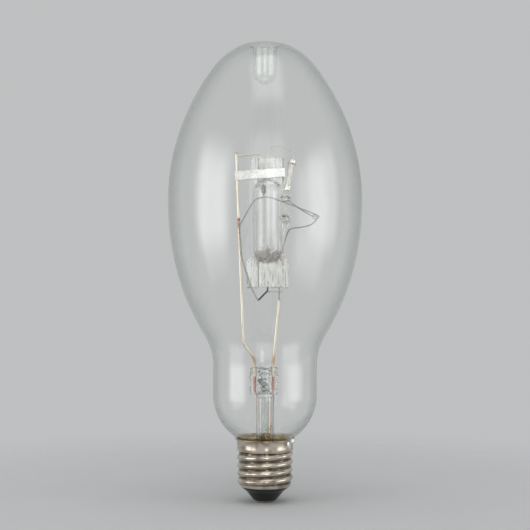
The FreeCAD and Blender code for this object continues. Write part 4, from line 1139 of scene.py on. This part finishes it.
def make_world():
    """The same pale tone to the eye, in gloss and through glass."""
    world = bpy.data.worlds.new("world")
    scene.world = world
    world.use_nodes = True
    show = world.node_tree.nodes["Background"]
    show.inputs["Color"].default_value = (*BACKDROP, 1)
    show.inputs["Strength"].default_value = 1.0


def put_round(obj, around, elevation, distance, axis):
    """Puts a light or a panel round the lamp, with its face to the lamp."""
    turn, tilt = math.radians(around), math.radians(elevation)
    way = Vector((math.sin(turn) * math.cos(tilt), -math.cos(turn) * math.cos(tilt), math.sin(tilt)))
    aim = Vector((0, 0, CAMERA_HEIGHT))
    obj.location = aim + way * distance
    look_at(obj, aim, axis)


def soft_box(name, around, elevation, distance, size, glow):
    """A panel that glows and fades at its edges. Gloss shows it, but it isn't seen straight through glass."""
    corners = [(x * size[0] / 2, y * size[1] / 2, 0) for x, y in ((-1, -1), (1, -1), (1, 1), (-1, 1))]
    mesh = bpy.data.meshes.new(name)
    mesh.from_pydata(corners, [], [(0, 1, 2, 3)])
    panel = bpy.data.objects.new(name, mesh)
    scene.collection.objects.link(panel)
    put_round(panel, around, elevation, distance, "Z")
    panel.visible_camera = False
    panel.visible_shadow = False
    shade = Shade(name)
    level = glow
    for axis, length in zip(("X", "Y"), size):
        edge = shade.spread(shade.apart(shade.axis(axis), 0.0), 0.5 * length, 0.2 * length)
        level = shade.product(edge, level)
    path = shade.node("ShaderNodeLightPath").outputs
    bounced = shade.math("ADD", path["Glossy Depth"], path["Diffuse Depth"])
    straight = shade.math("MAXIMUM", shade.math("SUBTRACT", path["Is Transmission Ray"], bounced), 0.0)
    back = shade.node("ShaderNodeNewGeometry").outputs["Backfacing"]
    shown = shade.math("SUBTRACT", 1.0, shade.math("MAXIMUM", straight, back))
    glowing = shade.node("ShaderNodeEmission")
    shade.link(shade.product(level, shown), glowing.inputs["Strength"])
    clear = shade.node("ShaderNodeBsdfTransparent")
    both = shade.node("ShaderNodeAddShader")
    shade.link(glowing.outputs["Emission"], both.inputs[0])
    shade.link(clear.outputs["BSDF"], both.inputs[1])
    shade.link(both.outputs["Shader"], shade.output.inputs["Surface"])
    mesh.materials.append(shade.material)


def top_light():
    """A soft light from above that no gloss shows. It brings the floor up to the tone of the world."""
    data = bpy.data.lights.new("top_light", "AREA")
    data.size = TOP_LIGHT_SIZE
    data.energy = TOP_LIGHT_WATTS
    light = bpy.data.objects.new("top_light", data)
    scene.collection.objects.link(light)
    put_round(light, *TOP_LIGHT, "-Z")
    light.visible_camera = False
    light.visible_glossy = False
    light.visible_transmission = False


make_camera()
make_stage()
make_world()
for box in SOFT_BOXES:
    soft_box(*box)
top_light()
dress_nodes()
outer_bulb()
cap_shell()
cap_insulator()
contacts()
cement()
stem()
arc_tube()
electrodes()
filament()
beads()
resistor()
strap()
welds()
lead_curl()
hook_curl()

scene.view_settings.view_transform = "Standard"
